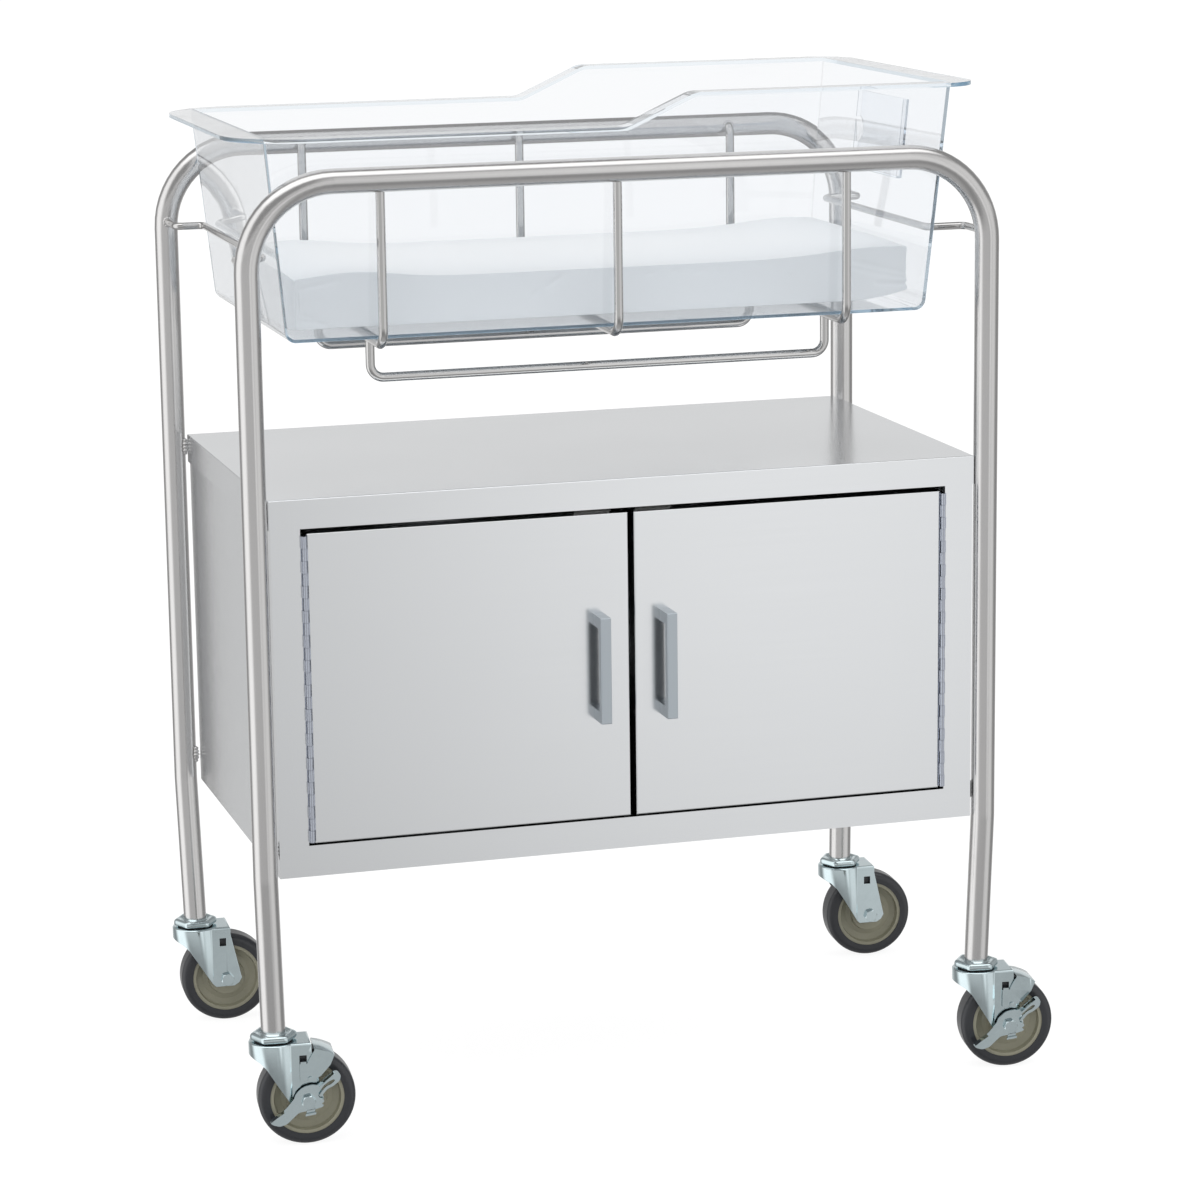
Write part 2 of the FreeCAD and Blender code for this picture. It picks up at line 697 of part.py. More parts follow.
def fork_side_outline():
    """Side view of the fork: round skirt under the stem, legs slanting down to the axle ears."""
    top = FORK_TOP_Z + OVERCUT
    x = CASTER_TRAIL
    z = AXLE_Z
    skirt = -FORK_CUP_R - OVERCUT
    ear = FORK_EAR_W / 2
    foot_z = z - FORK_EAR_DROP
    return [
        (skirt, top),
        (x + FORK_BROW_X, top),
        (x + FORK_BROW_X, FORK_TOP_Z - FORK_BROW_H),
        (x + ear, z),
        (x + ear - FORK_EAR_CHAMFER, foot_z + FORK_EAR_CHAMFER),
        (x + ear - FORK_TOE_CHAMFER, foot_z),
        (x - ear + FORK_EAR_CHAMFER, foot_z),
        (x - ear, foot_z + FORK_EAR_CHAMFER),
        (FORK_SKIRT_X, FORK_SKIRT_Z),
        (FORK_SKIRT_X - FORK_SKIRT_CHAMFER, FORK_SKIRT_Z + FORK_SKIRT_CHAMFER),
        (skirt, FORK_SKIRT_Z + 2 * FORK_SKIRT_CHAMFER),
    ]


def shoe_hole():
    """Box of the square hole in the fork leg that the brake shoe hooks into, as x0, x1, z0, z1."""
    mid_x = CASTER_TRAIL - SHOE_HOLE_BACK
    mid_z = AXLE_Z + SHOE_HOLE_UP
    half_w = SHOE_HOLE_W / 2
    half_h = SHOE_HOLE_H / 2
    return mid_x - half_w, mid_x + half_w, mid_z - half_h, mid_z + half_h


def fork():
    """Pressed fork: a round cup over the bearing, blending into two flat legs."""
    z0 = AXLE_Z - FORK_EAR_W / 2
    height = FORK_TOP_Z - z0
    reach = CASTER_TRAIL + FORK_EAR_W
    outer = Part.makeCylinder(FORK_CUP_R, height, V(0, 0, z0))
    outer = outer.fuse(box(0, reach, -FORK_LEG_Y, FORK_LEG_Y, z0, FORK_TOP_Z)).removeSplitter()
    outer = outer.common(prism_y(fork_side_outline(), -2 * FORK_CUP_R, 2 * FORK_CUP_R))
    top_edges = [e for e in outer.Edges if e.BoundBox.ZMin > FORK_TOP_Z - 0.1]
    outer = outer.makeFillet(FORK_FOLD_R, top_edges)
    inner_r = FORK_CUP_R - FORK_SHEET
    low = z0 - OVERCUT
    half = FORK_INNER_W / 2
    inner = Part.makeCylinder(inner_r, FORK_PLATE_Z - low, V(0, 0, low))
    inner = inner.fuse(box(0, reach + OVERCUT, -half, half, low, FORK_PLATE_Z))
    shell = outer.cut(inner)
    spindle_r = SPINDLE_D / 2 + RUNNING_FIT
    spindle_hole = Part.makeCylinder(spindle_r, 3 * FORK_SHEET, V(0, 0, FORK_PLATE_Z - FORK_SHEET))
    axle_hole = tube_y(AXLE_BOLT_D / 2, 0.0, -FORK_CUP_R, FORK_CUP_R)
    hx0, hx1, hz0, hz1 = shoe_hole()
    window = box(hx0, hx1, -FORK_LEG_Y - OVERCUT, FORK_LEG_Y + OVERCUT, hz0, hz1)
    return shell.cut(spindle_hole).cut(axle_hole).cut(window)


def head_seat(braked):
    """How far out from the middle the axle bolt's head sits."""
    if braked:
        return lever_face() + LEVER_SHEET + BODY_GAP
    return FORK_LEG_Y


def shoe_face():
    return FORK_LEG_Y + SHOE_LEG_GAP


def lever_face():
    return shoe_face() + SHOE_SHEET + SHOE_LEG_GAP


def axle_hardware(braked):
    """Bolt, sleeve and nut that the wheel runs on, as separate solids in one group."""
    x = CASTER_TRAIL
    z = AXLE_Z
    seat = head_seat(braked)
    nut_end = FORK_LEG_Y + BOLT_HEAD_H
    outward = V(0, -1, 0)
    shank = rod(AXLE_BOLT_D / 2, V(x, -seat, z), V(x, nut_end + BOLT_TAIL, z))
    head = hexagon(BOLT_AF, BOLT_HEAD_H, V(x, -seat, z), outward, BOLT_TURN)
    flat_r = BOLT_AF / 2
    crown_h = BOLT_HEAD_H + BOLT_CHAMFER
    crown = Part.makeCone(flat_r + BOLT_HEAD_H, flat_r - BOLT_CHAMFER, crown_h, V(x, -seat, z), outward)
    bolt = fuse([shank, head.common(crown)])
    nut = hexagon(BOLT_AF, BOLT_HEAD_H, V(x, FORK_LEG_Y, z), Y_AXIS, BOLT_TURN)
    nut = nut.cut(rod(AXLE_BOLT_D / 2, V(x, 0, z), V(x, 2 * nut_end, z)))
    half = FORK_INNER_W / 2
    sleeve = tube_y(SLEEVE_D / 2, AXLE_BOLT_D / 2, -half, half)
    pieces = [bolt, nut, sleeve]
    if braked:
        pieces.append(tube_y(SLEEVE_D / 2, AXLE_BOLT_D / 2, -seat, -FORK_LEG_Y))
    return pieces


def tube_y(outer_r, inner_r, y0, y1):
    """Sleeve on the axle line, or a plain round bar when inner_r is zero."""
    x = CASTER_TRAIL
    z = AXLE_Z
    bar = rod(outer_r, V(x, y0, z), V(x, y1, z))
    if inner_r:
        bar = bar.cut(rod(inner_r, V(x, y0 - OVERCUT, z), V(x, y1 + OVERCUT, z)))
    return bar


def turned_about_axle(profile):
    """Revolve an outline of (radius, y) points about the axle."""
    points = [V(CASTER_TRAIL + r, y, AXLE_Z) for r, y in profile]
    face = Part.Face(Part.makePolygon(points + points[:1]))
    return face.revolve(V(CASTER_TRAIL, 0, AXLE_Z), Y_AXIS, 360)


def tyre():
    """Soft tread ring with round shoulders."""
    core_r = WHEEL_R - TYRE_WALL
    half = WHEEL_W / 2
    ring = turned_about_axle([(core_r, -half), (WHEEL_R, -half), (WHEEL_R, half), (core_r, half)])
    round_edges = [e for e in ring.Edges if e.BoundBox.YLength < OVERCUT]
    rims = [e for e in round_edges if e.BoundBox.XLength > WHEEL_D - OVERCUT]
    return ring.makeFillet(TYRE_SHOULDER_R, rims)


def wheel_core():
    """Moulded wheel centre: outer lip, sunk web, stepped hub and bore."""
    r_out = WHEEL_R - TYRE_WALL
    lip = WHEEL_W / 2 - CORE_LIP_INSET
    bore = SLEEVE_D / 2 + RUNNING_FIT
    hub_half = FORK_INNER_W / 2 - BODY_GAP
    boss_r = bore + CORE_BOSS_WALL
    lip_r = r_out - CORE_LIP_W
    half = [
        (bore, hub_half),
        (boss_r, hub_half),
        (boss_r + CORE_DRAFT, CORE_STEP_Y),
        (CORE_STEP_R, CORE_STEP_Y),
        (CORE_STEP_R + CORE_DRAFT, CORE_WEB_Y + CORE_DRAFT),
        (CORE_WEB_R, CORE_WEB_Y),
        (lip_r - CORE_DRAFT, CORE_WEB_Y + 2 * CORE_DRAFT),
        (lip_r, lip),
        (r_out, lip),
    ]
    other = [(r, -y) for r, y in reversed(half)]
    return turned_about_axle(half + other)


def from_axle(angle, along, across):
    """Point (x, z) reached from the axle by going along a direction and then across it."""
    c = math.cos(math.radians(angle))
    s = math.sin(math.radians(angle))
    return CASTER_TRAIL + along * c - across * s, AXLE_Z + along * s + across * c


def arm_outline(angle, length, width, start):
    """Straight arm from the axle at an angle, its tip chamfered, as (x, z) corners."""
    h = width / 2
    cut = LEVER_TIP_CUT * width
    lower = [(start, -h), (length - cut, -h), (length, cut - h)]
    upper = [(along, -across) for along, across in reversed(lower)]
    return [from_axle(angle, along, across) for along, across in lower + upper]


def brake_lever():
    """Rocking brake lever on the axle: a round plate with a step arm and a release arm."""
    y0 = -lever_face() - LEVER_SHEET
    y1 = -lever_face()
    x = CASTER_TRAIL
    z = AXLE_Z
    lobe = rod(LEVER_LOBE_R, V(x, y0, z), V(x, y1, z))
    inner = LEVER_LOBE_R / 3
    step_arm = prism_y(arm_outline(STEP_ANGLE, STEP_REACH, LEVER_ARM_W, inner), y0, y1)
    release_arm = prism_y(arm_outline(RELEASE_ANGLE, RELEASE_REACH, LEVER_ARM_W, inner), y0, y1)
    tail = prism_y(arm_outline(TAIL_ANGLE, TAIL_REACH, LEVER_ARM_W / 2, inner), y0, y1)
    plate = fuse([lobe, step_arm, release_arm, tail])
    slot_end = RELEASE_REACH - LEVER_ARM_W / 2
    slot_lines = arm_outline(RELEASE_ANGLE, slot_end, LEVER_SLOT_W, LEVER_LOBE_R)
    plate = plate.cut(prism_y(slot_lines, y0 - OVERCUT, y1 + OVERCUT))
    lips = []
    for angle, reach, side in ((STEP_ANGLE, STEP_REACH, -1), (RELEASE_ANGLE, RELEASE_REACH, 1)):
        edge = side * LEVER_ARM_W / 2
        fold = side * (LEVER_ARM_W / 2 - LEVER_SHEET)
        near = reach - LEVER_LIP_L
        far = reach - LEVER_TIP_CUT * LEVER_ARM_W
        outline = [from_axle(angle, a, b) for a, b in ((near, edge), (far, edge), (far, fold), (near, fold))]
        lips.append(prism_y(outline, y0 - LEVER_LIP, y0))
    bore = rod(SLEEVE_D / 2 + RUNNING_FIT, V(x, y0 - OVERCUT, z), V(x, y1 + OVERCUT, z))
    return fuse([plate] + lips).cut(bore)


def brake_shoe():
    """Side plate hooked into the fork leg, folded over the tyre as the shoe."""
    y0 = -shoe_face() - SHOE_SHEET
    y1 = -shoe_face()
    x = CASTER_TRAIL
    z = AXLE_Z
    hx0, hx1, hz0, _ = shoe_hole()
    hook_z = hz0 + SHOE_HOOK_PLAY
    inner_r = WHEEL_R + SHOE_TYRE_GAP
    outer_r = inner_r + SHOE_SHEET
    heel_z = z + SHOE_HEEL_Z
    outline = [
        (hx0, hook_z),
        (hx1, hook_z),
        from_axle(SHOE_PAD_FROM, inner_r, 0),
        from_axle(SHOE_PAD_FROM, outer_r, 0),
        from_axle(SHOE_PAD_TO, outer_r, 0),
        (x + SHOE_NOSE_X, z + SHOE_NOSE_Z),
        (x + SHOE_JAW_X, heel_z + SHOE_BOSS_R * 2),
        (x + SHOE_BOSS_R, heel_z),
        (hx0, heel_z),
    ]
    side = prism_y(outline, y0, y1)
    hook_y = -FORK_INNER_W / 2 - BODY_GAP
    hook = box(hx0 + SHOE_HOOK_PLAY, hx1 - SHOE_HOOK_PLAY, y0, hook_y, hook_z, hook_z + SHOE_SHEET)
    ring = rod(outer_r, V(x, y0, z), V(x, WHEEL_W / 2, z))
    ring = ring.cut(rod(inner_r, V(x, y0 - OVERCUT, z), V(x, WHEEL_W, z)))
    far = 2 * outer_r
    sector = [(x, z), from_axle(SHOE_PAD_FROM, far, 0), from_axle(SHOE_PAD_TO, far, 0)]
    pad = ring.common(prism_y(sector, y0, WHEEL_W / 2))
    boss_z = heel_z + SHOE_BOSS_R
    boss = rod(SHOE_BOSS_R, V(x + SHOE_BOSS_R, y0 - SHOE_SHEET, boss_z), V(x + SHOE_BOSS_R, y1, boss_z))
    return fuse([side, hook, pad, boss])


# ---------------------------------------------------------------- tub
def tub_wall_x(side, z, inside=False):
    """X of the tub's end wall at a height, outer face or inner face."""
    rise = z - TUB_BOTTOM_Z
    shrink = TUB_WALL if inside else 0.0
    if side == "left":
        return TUB_FOOT_X - TUB_FOOT_DRAFT * rise + shrink
    return TUB_HEAD_X + TUB_HEAD_DRAFT * rise - shrink


def tub_half_width(z, inside=False):
    shrink = TUB_WALL if inside else 0.0
    return TUB_BOTTOM_HALF_W + TUB_SIDE_DRAFT * (z - TUB_BOTTOM_Z) - shrink


def tub_block(z0, inside):
    """Tapered block of the tub's outside or inside: end walls bent up from the floor, flat long sides."""
    z1 = RIM_HIGH_Z + TRIM_SPARE
    bend_r = TUB_END_BEND_R - (TUB_WALL if inside else 0.0)
    half_0 = tub_half_width(z0, inside)
    half_1 = tub_half_width(z1, inside)
    foot_0, foot_1 = (tub_wall_x("left", z, inside) for z in (z0, z1))
    head_0, head_1 = (tub_wall_x("right", z, inside) for z in (z0, z1))
    ends = prism_y([(foot_0, z0), (head_0, z0), (head_1, z1), (foot_1, z1)], -half_1, half_1)
    bends = [e for e in ends.Edges if e.BoundBox.ZMax < z0 + OVERCUT and e.BoundBox.XLength < OVERCUT]
    sides = prism_x([(-half_0, z0), (half_0, z0), (half_1, z1), (-half_1, z1)], foot_1, head_1)
    return ends.makeFillet(bend_r, bends).common(sides)


def eased_sides(block):
    """The block with the edges of its two long sides rounded off, all but those at its top."""
    top = block.BoundBox.ZMax - OVERCUT
    lower = [e for e in block.Edges if e.BoundBox.ZMin < top]
    edges = [e for e in lower if e.BoundBox.YMax < 0 or e.BoundBox.YMin > 0]
    return block.makeFillet(TUB_EDGE_R, edges)


def rim_band(x0, x1, bottom, top):
    """Slab across the tub between two heights that follow the rim's low, stepped and high runs."""
    low_in = V(RIM_STEP_X, 0, RIM_LOW_Z)
    high_in = V(RIM_STEP_X + RIM_STEP_L, 0, RIM_HIGH_Z)
    points = [V(x0, 0, RIM_LOW_Z), low_in, high_in, V(x1, 0, RIM_HIGH_Z)]
    edges_low = rim_line(points, bottom)
    edges_high = rim_line(points, top)
    start = Part.LineSegment(edges_low[0].Vertexes[0].Point, edges_high[0].Vertexes[0].Point).toShape()
    end = Part.LineSegment(edges_low[-1].Vertexes[-1].Point, edges_high[-1].Vertexes[-1].Point).toShape()
    wire = Part.Wire(Part.__sortEdges__(edges_low + edges_high + [start, end]))
    half = RIM_HALF_W + TRIM_SPARE
    face = Part.Face(wire)
    face.translate(V(0, -half, 0))
    return face.extrude(V(0, 2 * half, 0))


def rim_line(points, offset):
    """The rim's height line moved up by offset: three runs joined by two arcs."""
    moved = [p + V(0, 0, offset) for p in points]
    edges = []
    for piece in bent_path(moved, [RIM_STEP_R, RIM_STEP_R]):
        if piece[0] == "line":
            edges.append(Part.LineSegment(piece[1], piece[2]).toShape())
        else:
            _, centre, axis, start, degrees = piece
            middle = FreeCAD.Rotation(axis, degrees / 2).multVec(start - centre) + centre
            end = FreeCAD.Rotation(axis, degrees).multVec(start - centre) + centre
            edges.append(Part.Arc(start, middle, end).toShape())
    return edges


def rim_outline():
    """Upright block with the rim's plan outline: wide corners at the foot, tighter ones at the head."""
    block = box(RIM_FOOT_X, RIM_HEAD_X, -RIM_HALF_W, RIM_HALF_W, TUB_BOTTOM_Z, RIM_HIGH_Z + TRIM_SPARE)
    for x, radius in ((RIM_FOOT_X, RIM_FOOT_CORNER_R), (RIM_HEAD_X, RIM_HEAD_CORNER_R)):
        uprights = [e for e in block.Edges if e.BoundBox.ZLength > TRIM_SPARE]
        block = block.makeFillet(radius, [e for e in uprights if abs(e.BoundBox.XMin - x) < OVERCUT])
    return block


def tub():
    """Clear tub: tapered walls, bends at the floor's two ends and a flat rim that steps up at the head."""
    reach_0 = RIM_FOOT_X - TRIM_SPARE
    reach_1 = RIM_HEAD_X + TRIM_SPARE
    below_rim = rim_band(reach_0, reach_1, TUB_BOTTOM_Z - RIM_HIGH_Z - TRIM_SPARE, RIM_T / 2)
    outer = eased_sides(tub_block(TUB_BOTTOM_Z, False)).common(below_rim)
    rim = rim_outline().common(rim_band(reach_0, reach_1, -RIM_T / 2, RIM_T / 2))
    inner = tub_block(TUB_FLOOR_Z, True)
    return fuse([outer, rim]).cut(inner)


def card_holder():
    """Clear plate pocket for a name card, on the outside of the tub's head wall, above the end rod."""
    wall_h = RIM_HIGH_Z - END_ROD_Z
    z1 = RIM_HIGH_Z - CARD_DROP_SHARE * wall_h
    z0 = z1 - CARD_H_SHARE * wall_h
    depth = CARD_POCKET + CARD_T
    half = CARD_W / 2
    block = prism_y(along_head_wall([(z0, 0), (z1, 0), (z1, depth), (z0, depth)]), -half, half)
    low = z0 + CARD_T
    high = z1 + OVERCUT
    corners = [(low, CARD_POCKET), (high, CARD_POCKET), (high, -CARD_T), (low, -CARD_T)]
    holder = block.cut(prism_y(along_head_wall(corners), CARD_T - half, half - CARD_T))
    # a thumb notch in the rear edge of the front plate
    mid_z = (z0 + z1) / 2
    notch_line = [V(x, half, z) for x, z in along_head_wall([(mid_z, OVERCUT), (mid_z, 3 * depth)])]
    return holder.cut(rod(CARD_NOTCH_SHARE * wall_h, *notch_line))


def along_head_wall(places):
    """Points (x, z) for (height, distance out from the tub's head wall) pairs."""
    return [(tub_wall_x("right", z) + out, z) for z, out in places]


def mattress():
    """Soft pad lying in the tub."""
    z0 = TUB_FLOOR_Z + MATTRESS_LIFT
    half = MATTRESS_W / 2
    x0 = MATTRESS_X - MATTRESS_L / 2
    pad = box(x0, x0 + MATTRESS_L, -half, half, z0, z0 + MATTRESS_T)
    return pad.makeFillet(MATTRESS_EDGE_R, pad.Edges)


# ---------------------------------------------------------------- the assembly
def build():
    """Every node of the bassinet: name -> list of solids."""
    nodes = {}
    rail_front = frame_tube(-1, solid_core=True)
    rail_rear = frame_tube(1, solid_core=True)
    rails = Part.makeCompound([rail_front, rail_rear])
    nodes["front_frame_tube"] = [frame_tube(-1)]
    nodes["rear_frame_tube"] = [frame_tube(1)]
    hangers = {}
    for index, name in ((-1, "left"), (0, "middle"), (1, "right")):
        hangers[name] = hanger(index, rails)
        nodes["tub_hanger_" + name] = [hangers[name]]
    all_hangers = Part.makeCompound(list(hangers.values()))
    nodes["drop_rod_front"] = [drop_rod(-1, all_hangers)]
    nodes["drop_rod_rear"] = [drop_rod(1, all_hangers)]
    for side in ("left", "right"):
        nodes["end_rod_" + side] = [end_rod(side, rails)]

    nodes["cabinet_top"] = [cabinet_top()]
    nodes["cabinet_sides_back"] = [cabinet_shell()]
    nodes["cabinet_floor"] = [cabinet_floor()]
    nodes["cabinet_bottom_rail"] = [bottom_rail()]
    nodes["cabinet_shelf"] = [shelf()]
    nodes["shelf_brackets"] = shelf_brackets()
    nodes["magnetic_catches"] = magnetic_catches()
    for side in ("left", "right"):
        nodes["cabinet_stile_" + side] = [stile(side)]
        nodes["hinge_leaf_fixed_" + side] = [fixed_hinge_leaf(side)]
        nodes["hinge_pin_" + side] = [hinge_pin(side)]
        nodes["hinge_leaf_door_" + side] = [door_hinge_leaf(side)]
        nodes["door_pan_" + side] = [door_pan(side)]
        nodes["door_liner_" + side] = [door_liner(side)]
        nodes["door_handle_" + side] = [door_handle(side)]
        nodes["door_strike_" + side] = [door_strike(side)]

    nodes["caster_stems"] = [caster_stem(corner) for corner in CORNERS]
    nodes["stem_nuts"] = [stem_nut(corner) for corner in CORNERS]
    nodes["stem_races"] = [stem_race(corner) for corner in CORNERS]
    for corner in CORNERS:
        braked = corner in BRAKED
        nodes["fork_" + corner] = [place_caster(fork(), corner)]
        nodes["axle_" + corner] = [place_caster(piece, corner) for piece in axle_hardware(braked)]
        nodes["wheel_core_" + corner] = [place_caster(wheel_core(), corner)]
        nodes["tyre_" + corner] = [place_caster(tyre(), corner)]
        if braked:
            nodes["brake_lever_" + corner] = [place_caster(brake_lever(), corner)]
            nodes["brake_shoe_" + corner] = [place_caster(brake_shoe(), corner)]

    nodes["tub"] = [tub()]
    nodes["card_holder"] = [card_holder()]
    nodes["mattress"] = [mattress()]
    return nodes


def whole_box(nodes):
    whole = FreeCAD.BoundBox()
    for solids in nodes.values():
        for solid in solids:
            whole.add(solid.optimalBoundingBox(False))
    return whole


def origin_shift(nodes):
    """Move that brings the bottom centre of the object's box to the origin."""
    whole = whole_box(nodes)
    return V(-(whole.XMin + whole.XMax) / 2, -(whole.YMin + whole.YMax) / 2, -whole.ZMin)


def main():
    nodes = build()
    shift = origin_shift(nodes)
    os.makedirs("parts", exist_ok=True)
    for name, solids in nodes.items():
        for solid in solids:
            solid.translate(shift)
        shape = solids[0] if len(solids) == 1 else Part.makeCompound(solids)
        shape.exportStep("parts/" + name + ".step")
    print("nodes", len(nodes), "shift", tuple(round(c, 4) for c in shift))


main()
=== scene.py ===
import json
import math
import random
import bmesh
import bpy
import numpy as np
from mathutils import Matrix, Vector


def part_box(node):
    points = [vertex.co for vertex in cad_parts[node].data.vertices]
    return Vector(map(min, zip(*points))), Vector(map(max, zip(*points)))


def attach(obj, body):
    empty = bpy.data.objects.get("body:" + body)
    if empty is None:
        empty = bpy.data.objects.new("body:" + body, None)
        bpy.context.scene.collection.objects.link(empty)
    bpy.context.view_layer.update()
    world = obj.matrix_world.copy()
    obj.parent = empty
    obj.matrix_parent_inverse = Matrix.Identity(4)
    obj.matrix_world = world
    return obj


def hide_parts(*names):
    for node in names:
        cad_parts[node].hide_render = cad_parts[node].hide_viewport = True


# Hospital bassinet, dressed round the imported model. Metres, +Z up, the doors face -Y.
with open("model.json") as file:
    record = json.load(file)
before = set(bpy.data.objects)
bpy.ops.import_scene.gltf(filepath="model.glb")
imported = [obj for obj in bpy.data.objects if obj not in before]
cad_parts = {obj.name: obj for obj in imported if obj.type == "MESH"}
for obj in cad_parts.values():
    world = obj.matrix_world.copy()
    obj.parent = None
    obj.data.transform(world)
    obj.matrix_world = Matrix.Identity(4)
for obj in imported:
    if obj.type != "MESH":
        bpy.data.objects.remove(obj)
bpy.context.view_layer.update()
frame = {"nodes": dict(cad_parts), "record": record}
nodes = frame["nodes"]

# ---------------------------------------------------------------- driving values
TUBE_R = 0.0127
ROD_R = 0.0047625
END_ROD_R = 0.00397

# How far each caster is turned about its leg, in degrees; the braked ones carry a lever.
CASTER_TURN = {"front_left": -6.0, "front_right": -8.0, "rear_left": -3.0, "rear_right": -4.0}
BRAKED = ("front_left", "front_right")

random.seed(7)
front_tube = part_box("front_frame_tube")
rear_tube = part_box("rear_frame_tube")
MIDDLE_X = (front_tube[0].x + front_tube[1].x) / 2
MIDDLE_Y = (front_tube[0].y + rear_tube[1].y) / 2
POST_X = (front_tube[1].x - front_tube[0].x) / 2 - TUBE_R
POST_Y = (rear_tube[1].y - front_tube[0].y) / 2 - TUBE_R
RAIL_Z = front_tube[1].z - TUBE_R
SIDES = {"left": -1, "right": 1}
ROWS = {"front": -1, "rear": 1}


def at(x, y, z):
    """Point given from the middle of the frame tubes, which the whole cart is laid out about."""
    return Vector((MIDDLE_X + x, MIDDLE_Y + y, z))


# ---------------------------------------------------------------- object helpers
WELD_GAP = 0.00001
SHARP_ANGLE = 40
EASE_STEPS = 2

# Width of the casters' eased edges in metres.
EASED_EDGE = {"fork": 0.0006, "axle": 0.0004, "brake_shoe": 0.0005, "lever": 0.0004}


def placed(name, data):
    """New object in the scene."""
    piece = bpy.data.objects.new(name, data)
    bpy.context.scene.collection.objects.link(piece)
    return piece


def mesh_of(made, name):
    """Mesh of what was built, which is given up."""
    mesh = bpy.data.meshes.new(name)
    made.to_mesh(mesh)
    made.free()
    return mesh


def bridge(made, near, far, shift=0):
    """Faces between two closed rings; point k of the near one meets point k + shift of the far one."""
    count = len(near)
    for k in range(count):
        m = (k + 1) % count
        made.faces.new((near[k], near[m], far[(m + shift) % count], far[(k + shift) % count]))


def soften(piece, width):
    """Ease the piece's sharp edges, which then catch the light."""
    piece.modifiers.new("welded", "WELD").merge_threshold = WELD_GAP
    bevel = piece.modifiers.new("eased", "BEVEL")
    bevel.width = width
    bevel.segments = EASE_STEPS
    bevel.limit_method = "ANGLE"
    bevel.angle_limit = math.radians(SHARP_ANGLE)


# ---------------------------------------------------------------- camera
# The place is given from the middle of the frame tubes, the angles are in degrees.
CAMERA_PLACE = Vector((-1.138059, -3.986913, 1.382243))
CAMERA_AZIMUTH = 16.3545
CAMERA_DROP = 11.9561
CAMERA_ROLL = -0.7424
CAMERA_FAR = 100
LENS_MM = 116.27
SENSOR_MM = 36.0


def add_camera():
    """Camera at the studio's viewing angle."""
    azimuth = math.radians(CAMERA_AZIMUTH)
    drop = math.radians(CAMERA_DROP)
    roll = math.radians(CAMERA_ROLL)
    ahead = Vector((
        math.sin(azimuth) * math.cos(drop),
        math.cos(azimuth) * math.cos(drop),
        -math.sin(drop),
    ))
    level = Vector((math.cos(azimuth), -math.sin(azimuth), 0))
    above = level.cross(ahead)
    right = math.cos(roll) * level + math.sin(roll) * above
    up = math.cos(roll) * above - math.sin(roll) * level
    turn = Matrix((right, up, -ahead)).transposed()
    data = bpy.data.cameras.new("camera")
    data.sensor_width = SENSOR_MM
    data.lens = LENS_MM
    data.clip_end = CAMERA_FAR
    camera = placed("camera", data)
    camera.matrix_world = Matrix.Translation(CAMERA_PLACE + at(0, 0, 0)) @ turn.to_4x4()
    bpy.context.scene.camera = camera


# ---------------------------------------------------------------- shader helpers
# A Mix node's sockets share their names between numbers and colours, so the colour ones go by index.
MIX_COLOUR_A = 6
MIX_COLOUR_B = 7
MIX_COLOUR_RESULT = 2

# What most of a noise's values lie between.
NOISE_LOW = 0.3
NOISE_HIGH = 0.7
NOISE_ROUGHNESS = 0.55
NOISE_DETAIL = 3.0
SOFT_DETAIL = 2.0


def blank_tree(owner):
    """The owner's node tree, emptied."""
    owner.use_nodes = True
    owner.node_tree.nodes.clear()
    return owner.node_tree


def put(tree, kind, inputs=None, **settings):
    """New shader node; inputs are plain values or sockets to link from."""
    shader_node = tree.nodes.new("ShaderNode" + kind)
    for name, value in settings.items():
        setattr(shader_node, name, value)
    for key, value in (inputs or {}).items():
        socket = shader_node.inputs[key]
        if isinstance(value, bpy.types.NodeSocket):
            tree.links.new(value, socket)
        else:
            socket.default_value = value
    return shader_node


def math_node(tree, operation, *values):
    """Result of a math node on plain values or sockets."""
    return put(tree, "Math", dict(enumerate(values)), operation=operation).outputs[0]


def remap(tree, value, low, high, out_low=0.0, out_high=1.0, smooth=True):
    """Value from low..high to out_low..out_high, clamped."""
    inputs = {"Value": value, "From Min": low, "From Max": high, "To Min": out_low, "To Max": out_high}
    kind = "SMOOTHSTEP" if smooth else "LINEAR"
    return put(tree, "MapRange", inputs, interpolation_type=kind).outputs[0]


def spread_noise(tree, noise, out_low, out_high):
    """The noise's usual range stretched to out_low..out_high."""
    return remap(tree, noise, NOISE_LOW, NOISE_HIGH, out_low, out_high, smooth=False)


def window(tree, value, low, high, soft):
    """1 between low and high, falling off softly outside."""
    rise = remap(tree, value, low - soft, low + soft)
    fall = remap(tree, value, high - soft, high + soft, 1.0, 0.0)
    return math_node(tree, "MULTIPLY", rise, fall)


def blend_value(tree, a, b, factor):
    """Number going from a to b with the factor."""
    return put(tree, "Mix", {"Factor": factor, "A": a, "B": b}, data_type="FLOAT").outputs[0]


def blend_colour(tree, a, b, factor):
    """Colour going from a to b with the factor."""
    mix = put(tree, "Mix", {"Factor": factor}, data_type="RGBA")
    for index, colour in ((MIX_COLOUR_A, a), (MIX_COLOUR_B, b)):
        if isinstance(colour, bpy.types.NodeSocket):
            tree.links.new(colour, mix.inputs[index])
        else:
            mix.inputs[index].default_value = (*colour, 1)
    return mix.outputs[MIX_COLOUR_RESULT]


def any_of(tree, *flags):
    """1 where at least one of the flags is 1."""
    result = flags[0]
    for flag in flags[1:]:
        result = math_node(tree, "MAXIMUM", result, flag)
    return result


def object_noise(tree, scale, detail=NOISE_DETAIL):
    """Noise in the part's own space, stretched by a scale per axis."""
    place = put(tree, "TexCoord").outputs["Object"]
    stretched = put(tree, "Mapping", {"Vector": place, "Scale": scale}).outputs[0]
    inputs = {"Vector": stretched, "Scale": 1.0, "Detail": detail, "Roughness": NOISE_ROUGHNESS}
    return put(tree, "TexNoise", inputs).outputs[0]


